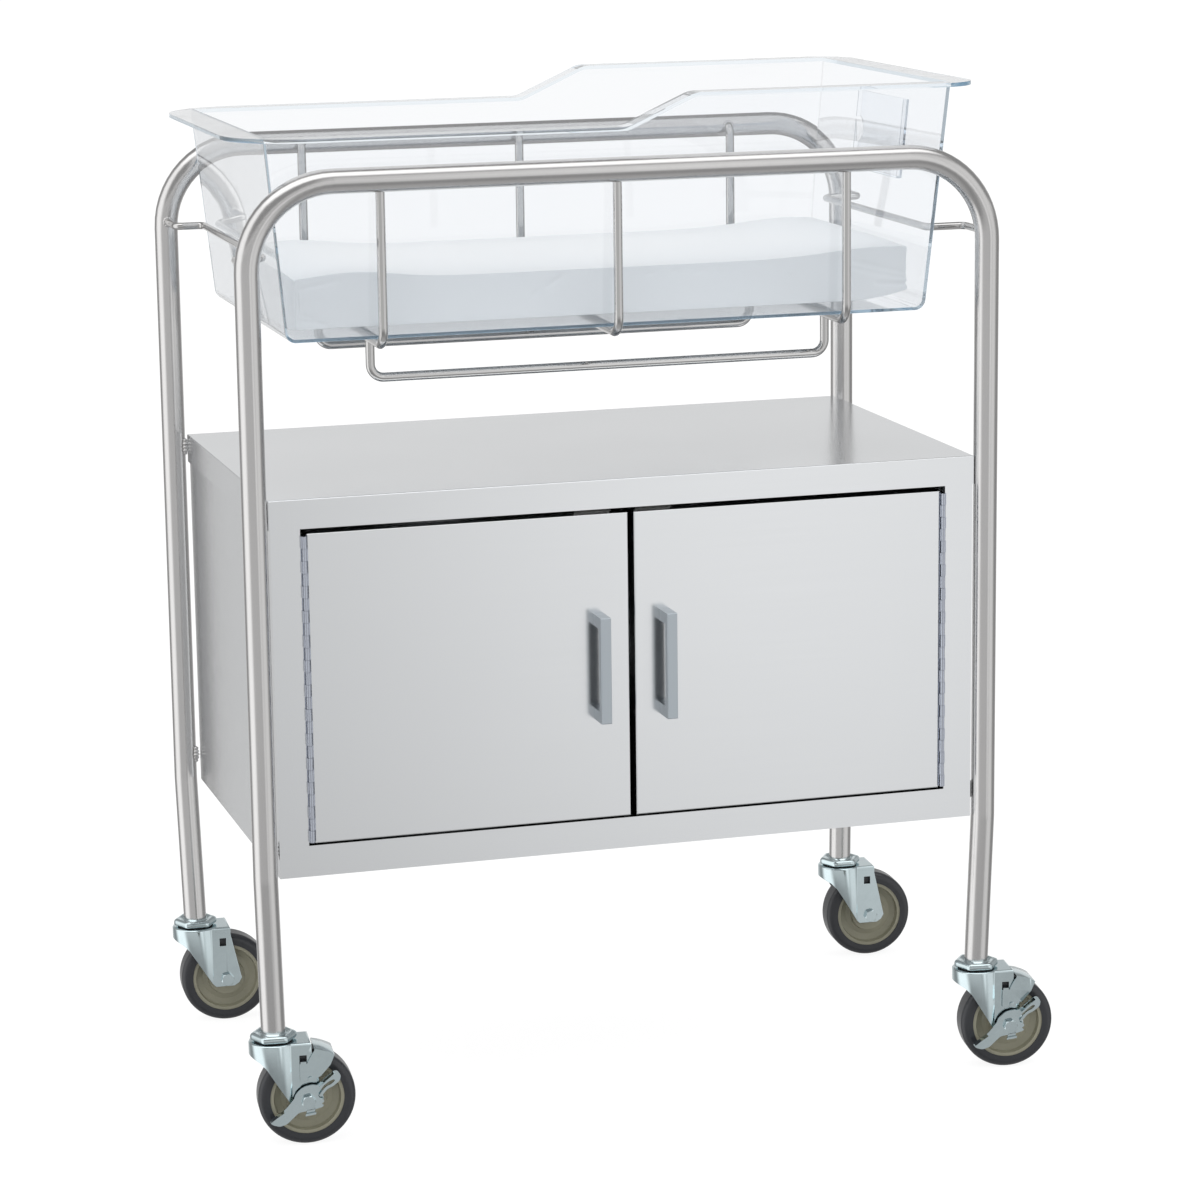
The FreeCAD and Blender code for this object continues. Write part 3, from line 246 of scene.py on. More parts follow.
def bumps(tree, height, strength, distance):
    """Normal of a surface with small relief."""
    inputs = {"Strength": strength, "Distance": distance, "Height": height}
    return put(tree, "Bump", inputs).outputs[0]


def shades(colour, share):
    """The colour a share darker, and a share lighter."""
    darker = tuple(c * (1 - share) for c in colour)
    lighter = tuple(min(1.0, c * (1 + share)) for c in colour)
    return darker, lighter


# ---------------------------------------------------------------- studio
# What polished metal sees round the room, as soft-edged panels: azimuth range and elevation
# range in degrees, softness, brightness. Azimuth 0 is the open front of the studio.
FULL_TURN = 360
STUDIO_DIM = 0.34
STUDIO_PANELS = {
    "front_opening": (-40, 24, -20, 4, 9, 0.66),
    "strip_light": (-110, 110, 6, 9, 3, 1.15),
    "left_softbox": (-104, -46, -45, 58, 14, 1.32),
    "right_softbox": (29, 42, -19, 36, 9, 1.24),
    "right_wall": (44, 88, -30, 36, 12, 0.9),
    "floor_sheet": (-180, 180, -91, -50, 14, 0.52),
    "ceiling_softbox": (-100, 100, 48, 91, 6, 1.75),
}

# The pale backdrop behind the cart, and the even sky that lights whatever isn't glossy.
BACKDROP_FROM = 124
BACKDROP_FULL = 170
BACKDROP_FOOT = -27
BACKDROP_TOP = 18
BACKDROP_SOFT = 5
BACKDROP_LEVEL = 0.81
SKY_LEVEL = 0.53
SKY_RISE = 0.64

FLOOR_REACH = 40
FLOOR_DROP = 0.0003
FLOOR_GLOW = 0.91
FLOOR_SHADOW = 0.16
FLOOR_COLOUR = 0.8

# Place in metres, width in metres and power in watts.
LAMPS = {
    "key_lamp": ((-1.6, -1.6, 3.6), 2.4, 30),
    "fill_lamp": ((2.6, -1.8, 2.4), 2.4, 12),
}


def studio_for_metal(tree, azimuth, elevation):
    """Brightness of the room in a direction, as glossy surfaces see it."""
    level = STUDIO_DIM
    for az_low, az_high, el_low, el_high, soft, bright in STUDIO_PANELS.values():
        mask = window(tree, elevation, el_low, el_high, soft)
        if az_high - az_low < FULL_TURN:
            mask = math_node(tree, "MULTIPLY", mask, window(tree, azimuth, az_low, az_high, soft))
        level = blend_value(tree, level, bright, mask)
    turned_back = math_node(tree, "ABSOLUTE", azimuth)
    behind = remap(tree, turned_back, BACKDROP_FROM, BACKDROP_FULL)
    low = window(tree, elevation, BACKDROP_FOOT, BACKDROP_TOP, BACKDROP_SOFT)
    return blend_value(tree, level, BACKDROP_LEVEL, math_node(tree, "MULTIPLY", behind, low))


def add_world():
    """White to the camera and through clear plastic, a studio to metal, an even sky to the rest."""
    world = bpy.data.worlds.new("studio")
    bpy.context.scene.world = world
    tree = blank_tree(world)
    direction = put(tree, "TexCoord").outputs["Generated"]
    turn = math.radians(CAMERA_AZIMUTH)
    front = (-math.sin(turn), -math.cos(turn), 0)
    right = (math.cos(turn), -math.sin(turn), 0)
    to_front, to_right = (
        put(tree, "VectorMath", {0: direction, 1: axis}, operation="DOT_PRODUCT").outputs["Value"]
        for axis in (front, right)
    )
    height = put(tree, "SeparateXYZ", {0: direction}).outputs["Z"]
    azimuth = math_node(tree, "DEGREES", math_node(tree, "ARCTAN2", to_right, to_front))
    elevation = math_node(tree, "DEGREES", math_node(tree, "ARCSINE", height))
    metal_room = studio_for_metal(tree, azimuth, elevation)
    sky = math_node(tree, "MULTIPLY_ADD", height, SKY_RISE, SKY_LEVEL)
    sky = math_node(tree, "MAXIMUM", sky, SKY_LEVEL)
    light_path = put(tree, "LightPath").outputs
    level = blend_value(tree, sky, metal_room, light_path["Is Glossy Ray"])
    seen = any_of(tree, light_path["Is Camera Ray"], light_path["Is Transmission Ray"])
    level = blend_value(tree, level, 1.0, seen)
    background = put(tree, "Background", {"Color": (1, 1, 1, 1), "Strength": level})
    put(tree, "OutputWorld", {"Surface": background.outputs[0]})


def floor_material():
    """White with the cart's shadow to the camera, plain to other light, absent to glossy rays."""
    material = bpy.data.materials.new("floor")
    tree = blank_tree(material)
    light_path = put(tree, "LightPath").outputs
    shade = put(tree, "BsdfDiffuse", {"Color": (FLOOR_SHADOW,) * 3 + (1,)}).outputs[0]
    glow = put(tree, "Emission", {"Strength": FLOOR_GLOW}).outputs[0]
    white = put(tree, "AddShader", {0: shade, 1: glow}).outputs[0]
    plain = put(tree, "BsdfDiffuse", {"Color": (FLOOR_COLOUR,) * 3 + (1,)}).outputs[0]
    seen = any_of(tree, light_path["Is Camera Ray"], light_path["Is Transmission Ray"])
    body = put(tree, "MixShader", {0: seen, 1: plain, 2: white}).outputs[0]
    clear = put(tree, "BsdfTransparent").outputs[0]
    surface = put(tree, "MixShader", {0: light_path["Is Glossy Ray"], 1: body, 2: clear}).outputs[0]
    put(tree, "OutputMaterial", {"Surface": surface})
    return material


def add_floor():
    """Pale floor that keeps the cart's soft shadow and fades into the white room."""
    mesh = bpy.data.meshes.new("floor")
    reach = FLOOR_REACH
    corners = [(-reach, -reach, 0), (reach, -reach, 0), (reach, reach, 0), (-reach, reach, 0)]
    mesh.from_pydata(corners, [], [(0, 1, 2, 3)])
    mesh.materials.append(floor_material())
    floor = placed("floor", mesh)
    floor.location.z = -FLOOR_DROP


def add_lamp(name, place, size, power):
    """Soft square lamp aimed at the middle of the cart."""
    data = bpy.data.lights.new(name, "AREA")
    data.shape = "SQUARE"
    data.size = size
    data.energy = power
    lamp = placed(name, data)
    lamp.location = place
    lamp.rotation_mode = "QUATERNION"
    lamp.rotation_quaternion = (at(0, 0, RAIL_Z / 2) - place).to_track_quat("-Z", "Y")
    lamp.visible_glossy = False
    lamp.visible_transmission = False
    lamp.visible_camera = False


# ---------------------------------------------------------------- metals
METAL_CLOUDS = (9.0, 9.0, 9.0)
METAL_BUMP = 0.3
# Painted shade: faces turned towards the cabinet, between these two facing values, are darkened towards
# this colour.
PAINTED_SHADE_FACING = (0.3, 0.8)
PAINTED_SHADE_COLOUR = (0.02, 0.018, 0.016)

# Grain is the noise's scale per axis, per metre; streak varies the colour and spread the roughness,
# relief is the depth of the grain in metres, and the back shade is painted shade that darkens the faces
# turned to the cabinet.
METALS = {
    "stainless_tube": dict(colour=(0.64, 0.632, 0.628), roughness=0.22, grain=(420.0, 420.0, 5.0)),
    "stainless_sheet": dict(
        colour=(0.77, 0.785, 0.80), roughness=0.2, grain=(4.0, 4.0, 900.0),
        streak=0.004, spread=0.01, relief=0.0000015,
    ),
    "stainless_rod": dict(colour=(0.58, 0.575, 0.57), roughness=0.1, grain=(420.0, 420.0, 5.0)),
    "stainless_hinge": dict(colour=(0.50, 0.53, 0.60), roughness=0.2, grain=(300.0, 300.0, 100.0)),
    # the handles carry painted shade on their backs, which face the doors
    "handle_aluminium": dict(
        colour=(0.50, 0.55, 0.59), roughness=0.3, grain=(900.0, 900.0, 20.0),
        streak=0.01, spread=0.01, painted_back_shade=0.75,
    ),
    "zinc_plate": dict(
        colour=(0.62, 0.72, 0.745), roughness=0.12, grain=(120.0, 120.0, 120.0), streak=0.05,
    ),
}


def metal(name, colour, roughness, grain, streak=0.03, spread=0.03, relief=0.00001, painted_back_shade=0.0):
    """Bare metal with a grain and faint clouds, and painted shade on the faces turned to the cabinet.
    """
    material = bpy.data.materials.new(name)
    tree = blank_tree(material)
    fine = object_noise(tree, grain)
    lines = spread_noise(tree, fine, -1.0, 1.0)
    clouds = spread_noise(tree, object_noise(tree, METAL_CLOUDS, SOFT_DETAIL), -1.0, 1.0)
    tone = remap(tree, math_node(tree, "ADD", lines, clouds), -2.0, 2.0, smooth=False)
    surface = blend_colour(tree, *shades(colour, streak), tone)
    # painted shade: the faces turned to the cabinet are darkened, in place of the shade behind the
    # handles
    facing = put(tree, "SeparateXYZ", {0: put(tree, "TexCoord").outputs["Normal"]}).outputs["Y"]
    painted_shade_mask = remap(tree, facing, *PAINTED_SHADE_FACING, 0.0, painted_back_shade)
    shader = put(tree, "BsdfPrincipled", {
        "Base Color": blend_colour(tree, surface, PAINTED_SHADE_COLOUR, painted_shade_mask),
        "Metallic": 1.0,
        "Roughness": math_node(tree, "MULTIPLY_ADD", lines, spread, roughness),
        "Normal": bumps(tree, fine, METAL_BUMP, relief),
    })
    put(tree, "OutputMaterial", {"Surface": shader.outputs[0]})
    return material


# ---------------------------------------------------------------- plastics and rubber
PEBBLE_GRAIN = (700.0, 700.0, 700.0)
PEBBLE_BUMP = 0.1
PEBBLE_DEPTH = 0.0001
PLASTIC_CLOUDS = (25.0, 25.0, 25.0)
PLASTIC_SPECKLE = 0.06
PLASTIC_SPREAD = 0.05

PLASTICS = {
    "catch_plastic": dict(colour=(0.80, 0.80, 0.78), roughness=0.5),
    "seal_rubber": dict(colour=(0.02, 0.02, 0.022), roughness=0.6),
    "tread": dict(colour=(0.026, 0.028, 0.033), roughness=0.36, coat=0.15),
    "wheel_core": dict(colour=(0.30, 0.29, 0.215), roughness=0.38),
}


def plastic(name, colour, roughness, coat=0.0):
    """Moulded plastic or rubber with a faint pebble."""
    material = bpy.data.materials.new(name)
    tree = blank_tree(material)
    pebble = object_noise(tree, PEBBLE_GRAIN)
    clouds = object_noise(tree, PLASTIC_CLOUDS)
    smoother, rougher = roughness - PLASTIC_SPREAD, roughness + PLASTIC_SPREAD
    shader = put(tree, "BsdfPrincipled", {
        "Base Color": blend_colour(tree, *shades(colour, PLASTIC_SPECKLE), clouds),
        "Roughness": spread_noise(tree, clouds, smoother, rougher),
        "Normal": bumps(tree, pebble, PEBBLE_BUMP, PEBBLE_DEPTH),
        "Coat Weight": coat,
    })
    put(tree, "OutputMaterial", {"Surface": shader.outputs[0]})
    return material


# ---------------------------------------------------------------- clear plastic
CLEAR_BASE = (0.970, 0.975, 0.985, 1)
CLEAR_PALE = (0.95, 0.965, 0.98, 1)
CLEAR_TINT = (0.63, 0.76, 0.84, 1)
CLEAR_DENSITY = 13.0
CLEAR_IOR = 1.43
CLEAR_WAVES = (14.0, 14.0, 14.0)
CLEAR_WAVE_BUMP = 0.1
CLEAR_WAVE_DEPTH = 0.0006
CLEAR_HAZE = (60.0, 60.0, 60.0)
CLEAR_HAZE_ROUGHNESS = 0.02
CLEAR_INNER_BOUNCES = 2.5
CLEAR_ALL_BOUNCES = 7.5


def clear_plastic(name):
    """Clear moulded plastic, blue where light travels far inside it."""
    material = bpy.data.materials.new(name)
    tree = blank_tree(material)
    waves = object_noise(tree, CLEAR_WAVES, SOFT_DETAIL)
    haze = object_noise(tree, CLEAR_HAZE, SOFT_DETAIL)
    body = put(tree, "BsdfPrincipled", {
        "Base Color": CLEAR_BASE,
        "Roughness": spread_noise(tree, haze, 0.0, CLEAR_HAZE_ROUGHNESS),
        "Transmission Weight": 1.0,
        "IOR": CLEAR_IOR,
        "Normal": bumps(tree, waves, CLEAR_WAVE_BUMP, CLEAR_WAVE_DEPTH),
    }).outputs[0]
    pale = put(tree, "BsdfTransparent", {"Color": CLEAR_PALE}).outputs[0]
    light_path = put(tree, "LightPath").outputs
    # light that has bounced about inside the sheet many times leaves it straight
    caught = math_node(tree, "GREATER_THAN", light_path["Glossy Depth"], CLEAR_INNER_BOUNCES)
    spent = math_node(tree, "GREATER_THAN", light_path["Ray Depth"], CLEAR_ALL_BOUNCES)
    passing = any_of(tree, light_path["Is Shadow Ray"], light_path["Is Diffuse Ray"], caught, spent)
    surface = put(tree, "MixShader", {0: passing, 1: body, 2: pale}).outputs[0]
    absorption = put(tree, "VolumeAbsorption", {"Color": CLEAR_TINT, "Density": CLEAR_DENSITY})
    put(tree, "OutputMaterial", {"Surface": surface, "Volume": absorption.outputs[0]})
    return material


# ---------------------------------------------------------------- mattress cover
COVER_DARK = (0.835, 0.85, 0.86)
COVER_LIGHT = (0.865, 0.875, 0.88)
COVER_CLOUDS = (18.0, 18.0, 18.0)
COVER_ROUGHNESS = 0.62
COVER_SHEEN = 0.15
COVER_SHEEN_ROUGHNESS = 0.5
WEAVE_SCALE = 260.0
WEAVE_WANDER = 0.6
WEAVE_BUMP = 0.12
WEAVE_DEPTH = 0.0002


def mattress_cover(name):
    """Smooth wipe-clean cover: a close weave under a soft sheen."""
    material = bpy.data.materials.new(name)
    tree = blank_tree(material)
    place = put(tree, "TexCoord").outputs["Object"]
    threads = {"Vector": place, "Scale": WEAVE_SCALE, "Distortion": WEAVE_WANDER}
    warp, weft = (put(tree, "TexWave", threads, bands_direction=axis).outputs[1] for axis in "XY")
    weave = math_node(tree, "ADD", warp, weft)
    clouds = object_noise(tree, COVER_CLOUDS)
    shader = put(tree, "BsdfPrincipled", {
        "Base Color": blend_colour(tree, COVER_DARK, COVER_LIGHT, clouds),
        "Roughness": COVER_ROUGHNESS,
        "Sheen Weight": COVER_SHEEN,
        "Sheen Roughness": COVER_SHEEN_ROUGHNESS,
        "Normal": bumps(tree, weave, WEAVE_BUMP, WEAVE_DEPTH),
    })
    put(tree, "OutputMaterial", {"Surface": shader.outputs[0]})
    return material


# ---------------------------------------------------------------- finishes of the nodes
ROD_NODES = ("tub_hanger", "drop_rod", "end_rod")


def make_materials():
    """One material for each material slot of the record, and one more for the bright rods."""
    made = {name: metal(name, **look) for name, look in METALS.items()}
    made.update({name: plastic(name, **look) for name, look in PLASTICS.items()})
    made["clear_plastic"] = clear_plastic("clear_plastic")
    made["mattress_cover"] = mattress_cover("mattress_cover")
    return made


def dress_nodes(materials):
    """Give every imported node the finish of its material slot; the rods are drawn bright."""
    for subpart in frame["record"]["subparts"]:
        node = subpart["node"]
        finish = "stainless_rod" if node.startswith(ROD_NODES) else subpart["material_slot"]
        for slot in nodes[node].material_slots:
            slot.material = materials[finish]


# ---------------------------------------------------------------- mattress
MATTRESS_INSET = 0.0025
MATTRESS_EDGE_R = 0.005
MATTRESS_EDGE_STEPS = 3
MATTRESS_VOXEL = 0.005
MATTRESS_FRAMES = 20
MATTRESS_QUALITY = 5
MATTRESS_PRESSURE = 4.0
MATTRESS_CAP = 0.0025
MATTRESS_PUSH = 0.0045
MATTRESS_SMOOTHING = 2
TINY = 1e-9

# The top sinks between two humps, given as their place along the cart and their width. It sinks most
# along the long edges and by a share of that in the middle. The base curls up at the head end and lifts
# a little along its front edge.
SAG_DEPTH = 0.009
SAG_HUMPS = ((-0.270, 0.060), (0.300, 0.075))
SAG_IN_MIDDLE = 0.35
SAG_EDGE_WIDTH = 0.06
CURL_RISE = 0.011
CURL_FROM = 0.262
CURL_RUN = 0.072
FRONT_LIFT = 0.003
FRONT_LIFT_WIDTH = 0.02

# Fine unevenness: depths and widths in metres, waves in radians per metre, sway and shifts in radians.
PUCKER_DEPTH = 0.0004
PUCKER_WIDTH = 0.02
PUCKER_WAVE = 210
PUCKER_SWAY = 5
PUCKER_SWAY_WAVE = 31
PUCKER_BEAT = (67, 90)
FOAM_DEPTH = 0.0008
FOAM_WAVE = (19, 23)
FOAM_SHIFT = (1.3, 0.4)

# Creases of the loose cover in millimetres: two ends as (along the cart from its middle, in from the
# front face, up from the base), then the width and the depth.
CREASES = (
    ((-329, 0, 10), (-330, 0, 56), 2.2, 4.0),
    ((-323, 0, 14), (-325, 0, 52), 2.2, 1.6),
    ((-326, 0, 49), (-285, 0, 54), 2.4, 2.8),
    ((-330, 2, 57), (-300, 4, 61), 2.6, 2.4),
    ((-326, 0, 12), (-300, 0, 7), 2.4, 2.8),
    ((-326, 0, 19), (-310, 0, 13), 2.4, 1.8),
    ((-44, 2, 57), (-66, 0, 38), 3.2, 2.8),
    ((-44, 3, 57), (-18, 14, 58), 4.5, 2.8),
    ((-75, 0, 34), (-82, 0, 26), 2.6, 1.4),
    ((20, 3, 54), (42, 22, 58), 4.0, 3.6),
    ((44, 1, 49), (64, 7, 56), 3.5, 3.2),
    ((72, 1, 51), (88, 16, 57), 4.0, 3.6),
    ((97, 1, 48), (112, 6, 55), 3.5, 2.8),
    ((120, 2, 51), (140, 14, 57), 4.0, 3.0),
    ((200, 0, 40), (206, 0, 34), 2.6, 1.4),
    ((255, 0, 52), (330, 0, 32), 3.0, 2.4),
    ((265, 0, 42), (333, 0, 24), 3.0, 2.0),
    ((298, 0, 21), (335, 0, 13), 3.0, 4.0),
    ((333, 0, 58), (334, 0, 20), 2.6, 2.4),
)
CREASE_END = 0.12


def pad_block(low, high):
    """Plain block inside the mattress's box, drawn in by the inset, its edges rounded."""
    made = bmesh.new()
    bmesh.ops.create_cube(made, size=1.0)
    bmesh.ops.scale(made, vec=high - low - Vector((2 * MATTRESS_INSET,) * 3), verts=made.verts)
    bmesh.ops.translate(made, vec=(low + high) / 2, verts=made.verts)
    bmesh.ops.bevel(
        made, geom=made.edges, affect="EDGES",
        offset=MATTRESS_EDGE_R, segments=MATTRESS_EDGE_STEPS, profile=0.5,
    )
    return placed("mattress_pad", mesh_of(made, "mattress_pad"))


def applied(piece):
    """Replace the piece's mesh with what its modifiers give, and take them off."""
    graph = bpy.context.evaluated_depsgraph_get()
    mesh = bpy.data.meshes.new_from_object(piece.evaluated_get(graph))
    piece.modifiers.clear()
    piece.data = mesh


def coordinates(mesh):
    """The mesh's points as rows of x, y, z."""
    values = np.empty(len(mesh.vertices) * 3)
    mesh.vertices.foreach_get("co", values)
    return values.reshape(-1, 3)


def set_coordinates(mesh, values):
    """Move the mesh's points to the rows of x, y, z."""
    mesh.vertices.foreach_set("co", values.ravel())
    mesh.update()


def inflate(piece):
    """Puff the pad up as cloth under pressure, no point moving further than the cap."""
    start = coordinates(piece.data)
    cloth = piece.modifiers.new("cloth", "CLOTH").settings
    cloth.use_pressure = True
    cloth.uniform_pressure_force = MATTRESS_PRESSURE
    cloth.effector_weights.gravity = 0
    cloth.quality = MATTRESS_QUALITY
    for step in range(1, MATTRESS_FRAMES + 1):
        bpy.context.scene.frame_set(step)
    applied(piece)
    moved = coordinates(piece.data) - start
    length = np.linalg.norm(moved, axis=1, keepdims=True)
    moved *= np.minimum(1.0, MATTRESS_CAP / np.maximum(length, TINY))
    set_coordinates(piece.data, start + moved)
    bpy.context.scene.frame_set(1)


def bump_at(x, middle, width):
    """Smooth hump of height 1 round a place."""
    return np.exp(-((x - middle) / width) ** 2)


def level_in(z, low, high):
    """Height in the pad's box: -1 at its base, 0 in the middle, 1 at the top."""
    return (z - (low[2] + high[2]) / 2) / ((high[2] - low[2]) / 2)


def from_long_edge(y, low, high):
    """Distance from the nearer long edge of the pad's box."""
    return np.minimum(y - low[1], high[1] - y)


def squared(points, low, high):
    """The puffed pad pressed out into its box, which squares up its faces and edges."""
    centre = (low + high) / 2
    grown = centre + (points - centre) * (1 + MATTRESS_PUSH / ((high - low) / 2))
    return np.clip(grown, low + MATTRESS_INSET, high - MATTRESS_INSET)


def crease(points, start, end, width):
    """1 along a line from start to end, fading beside it and towards its ends."""
    line = end - start
    share = np.clip((points - start) @ line / (line @ line), 0, 1)
    gap = np.linalg.norm(points - start - share[:, None] * line, axis=1)
    return bump_at(gap, 0, width) * np.sin(math.pi * (CREASE_END + (1 - 2 * CREASE_END) * share))


def mattress_wrinkles(points, low, high):
    """How far each point of the pad sits in from a smooth pad: creases, puckers and uneven foam."""
    x, y, z = points.T
    origin = np.array((MIDDLE_X, low[1] + MATTRESS_INSET, low[2]))
    depth = np.zeros(len(points))
    for start, end, width, deep in CREASES:
        ends = (origin + np.array(place) / 1000 for place in (start, end))
        depth += deep / 1000 * crease(points, *ends, width / 1000)
    top = np.clip(level_in(z, low, high), 0, 1)
    border = bump_at(from_long_edge(y, low, high), 0, PUCKER_WIDTH) * top
    sway = PUCKER_SWAY * np.sin(x * PUCKER_SWAY_WAVE)
    pucker = np.sin(x * PUCKER_WAVE + sway) * np.sin(x * PUCKER_BEAT[0] + y * PUCKER_BEAT[1])
    foam = np.sin(x * FOAM_WAVE[0] + FOAM_SHIFT[0]) * np.sin(y * FOAM_WAVE[1] + FOAM_SHIFT[1])
    return depth + PUCKER_DEPTH * border * pucker + FOAM_DEPTH * top * foam


def mattress_sag(points, low, high):
    """How far each point is raised: the top sinks, the base lifts at its head end and front edge."""
    x, y, z = points.T
    across = x - MIDDLE_X
    level = level_in(z, low, high)
    upper = np.clip(level, 0, 1)
    lower = np.clip(-level, 0, 1)
    raised = np.clip(sum(bump_at(across, *hump) for hump in SAG_HUMPS), 0, 1)
    edge = bump_at(from_long_edge(y, low, high), 0, SAG_EDGE_WIDTH)
    sag = SAG_DEPTH * (1 - raised) * (SAG_IN_MIDDLE + (1 - SAG_IN_MIDDLE) * edge)
    curl = np.clip((across - CURL_FROM) / CURL_RUN, 0, 1) ** 2
    lift = CURL_RISE * curl + FRONT_LIFT * bump_at(y, low[1], FRONT_LIFT_WIDTH)
    return lift * lower - sag * upper


def shape_pad(mesh, low, high):
    """Square up the puffed pad, press the wrinkles in and let it sag."""
    points = squared(coordinates(mesh), low, high)
    inward = (low + high) / 2 - points
    inward /= np.linalg.norm(inward / (high - low), axis=1, keepdims=True) * (high - low).max()
    points = points + inward * mattress_wrinkles(points, low, high)[:, None]
    points[:, 2] += mattress_sag(points, low, high)
    set_coordinates(mesh, np.clip(points, low, high))


def add_mattress(materials):
    """Padded mattress in place of its plain solid."""
    pad = pad_block(*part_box("mattress"))
    low, high = (np.array(corner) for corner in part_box("mattress"))
    remesh = pad.modifiers.new("remesh", "REMESH")
    remesh.mode = "VOXEL"
    remesh.voxel_size = MATTRESS_VOXEL
    applied(pad)
    inflate(pad)
    pad.modifiers.new("smooth", "SUBSURF").levels = MATTRESS_SMOOTHING
    applied(pad)
    shape_pad(pad.data, low, high)
    pad.data.materials.clear()
    pad.data.materials.append(materials["mattress_cover"])
    pad.data.shade_smooth()
    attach(pad, "mattress")
    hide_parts("mattress")


# ---------------------------------------------------------------- brake levers
# Millimetres from the axle, x along the wheel and z up, as the lever is seen from outside the cart.
LEVER_OUTLINE = (
    (-41, -19), (-25, -8), (-15.5, 2.5), (-12, 9.5), (-5, 15.5), (4, 17.5), (9, 16.5), (12, 18.5),
    (16, 22.5), (27, 31.5), (30.5, 31), (34, 25.5), (33, 20), (26, 14.5), (20, 12), (16.5, 8),
    (13, 3.5), (10.5, 5), (14.5, 10.5), (19, 15), (24, 17), (28, 20.5), (26.5, 22), (21, 19.5),
    (16.5, 16.5), (13, 11.5), (9.5, 7), (11.5, 2.5), (15.5, 1), (16.2, -1.5), (13.3, -3.7),
    (15.8, -5.2), (14.5, -7.2), (8, -9), (-4.6, -11), (-10.5, -12), (-16, -17), (-23, -23.5),
    (-30.5, -25.7), (-38, -23.3),
)
LEVER_LIPS = (((-40, -18.6), (-33, -13.6), (-25.5, -8.6)), ((11, 17), (17.5, 22.3), (26.5, 30)))
LEVER_TAB = ((-4, -15.6), (7, -14.2), (7.5, -11.8), (-3.5, -13.2))
LEVER_NECK = ((-3, -14.5), (6, -13.3), (7, -8), (-2, -9.5))
LEVER_BACK = 23.9
LEVER_SHEET = 2.0
LEVER_HOLE_R = 6.1
LEVER_HOLE_STEPS = 32
LIP_BEND_R = 1.5
LIP_BEND_STEPS = 6
LIP_REACH = 8.0
LIP_OVER_EDGE = 1.0
LIP_MITRE = 1.1
OUTLINE_PASSES = 2
OUTLINE_CUT = 0.17


def rounded(points):
    """The closed outline with its corners cut smooth."""
    near, far = OUTLINE_CUT, 1 - OUTLINE_CUT
    for _ in range(OUTLINE_PASSES):
        cut = []
        for (ax, az), (bx, bz) in zip(points, points[1:] + points[:1]):
            cut.append((ax * far + bx * near, az * far + bz * near))
            cut.append((ax * near + bx * far, az * near + bz * far))
        points = tuple(cut)
    return points


def add_sheet(made, loops, back):
    """Flat sheet inside closed loops of (x, z) points, the first the outline and the rest holes."""
    edges = []
    for loop in loops:
        ring = [made.verts.new((x, -back, z)) for x, z in loop]
        for a, b in zip(ring, ring[1:] + ring[:1]):
            edges.append(made.edges.new((a, b)))
    filled = bmesh.ops.triangle_fill(made, use_beauty=True, edges=edges)["geom"]
    faces = [item for item in filled if isinstance(item, bmesh.types.BMFace)]
    grown = bmesh.ops.extrude_face_region(made, geom=faces)["geom"]
    front = [item for item in grown if isinstance(item, bmesh.types.BMVert)]
    bmesh.ops.translate(made, verts=front, vec=(0, -LEVER_SHEET, 0))


def lip_profile():
    """Outline of a folded lip as (out across the sheet, towards the viewer) pairs."""
    inner, outer = [], []
    for step in range(LIP_BEND_STEPS + 1):
        turn = math.pi / 2 * step / LIP_BEND_STEPS
        for radius, side in ((LIP_BEND_R, inner), (LIP_BEND_R + LEVER_SHEET, outer)):
            side.append((radius * math.sin(turn), LEVER_SHEET + LIP_BEND_R - radius * math.cos(turn)))
    top = LEVER_SHEET + LIP_BEND_R + LIP_REACH
    return inner + [(LIP_BEND_R, top), (LIP_BEND_R + LEVER_SHEET, top)] + outer[::-1]


def add_lip(made, path):
    """Lip folded out of the sheet along its upper edge."""
    rings = []
    last = len(path) - 1
    shift = LIP_BEND_R + LEVER_SHEET
    for i, (x, z) in enumerate(path):
        (ax, az), (bx, bz) = path[max(i - 1, 0)], path[min(i + 1, last)]
        along = Vector((bx - ax, bz - az)).normalized()
        out = Vector((-along.y, along.x)) * (1 if i in (0, last) else LIP_MITRE)
        ring = []
        for across, near in lip_profile():
            spot = Vector((x, z)) + out * (across - shift + LIP_OVER_EDGE)
            ring.append(made.verts.new((spot.x, -LEVER_BACK - near, spot.y)))
        rings.append(ring)
    for near, far in zip(rings, rings[1:]):
        bridge(made, near, far)
    made.faces.new(rings[0][::-1])
    made.faces.new(rings[-1])


def lever_mesh(name):
    """Pressed brake lever about its axle: plate with a slit, two folded lips and a small tab."""
    made = bmesh.new()
    hole = []
    for step in range(LEVER_HOLE_STEPS):
        turn = -2 * math.pi * step / LEVER_HOLE_STEPS
        hole.append((LEVER_HOLE_R * math.cos(turn), LEVER_HOLE_R * math.sin(turn)))
    add_sheet(made, (rounded(LEVER_OUTLINE), tuple(hole)), LEVER_BACK)
    add_sheet(made, (LEVER_NECK,), LEVER_BACK)
    add_sheet(made, (LEVER_TAB,), LEVER_BACK + LEVER_SHEET)
    for path in LEVER_LIPS:
        add_lip(made, path)
    bmesh.ops.recalc_face_normals(made, faces=made.faces)
    bmesh.ops.scale(made, vec=(0.001, 0.001, 0.001), verts=made.verts)
    return mesh_of(made, name)


def add_levers(materials):
    """Brake levers of the two front casters in place of their plain solids."""
    for corner in BRAKED:
        low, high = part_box("wheel_core_" + corner)
        lever = placed("lever_plate_" + corner, lever_mesh("lever_plate_" + corner))
        lever.location = (low + high) / 2
        lever.rotation_euler.z = math.radians(CASTER_TURN[corner])
        lever.data.materials.append(materials["zinc_plate"])
        soften(lever, EASED_EDGE["lever"])
        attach(lever, "lever_" + corner)
        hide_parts("brake_lever_" + corner)


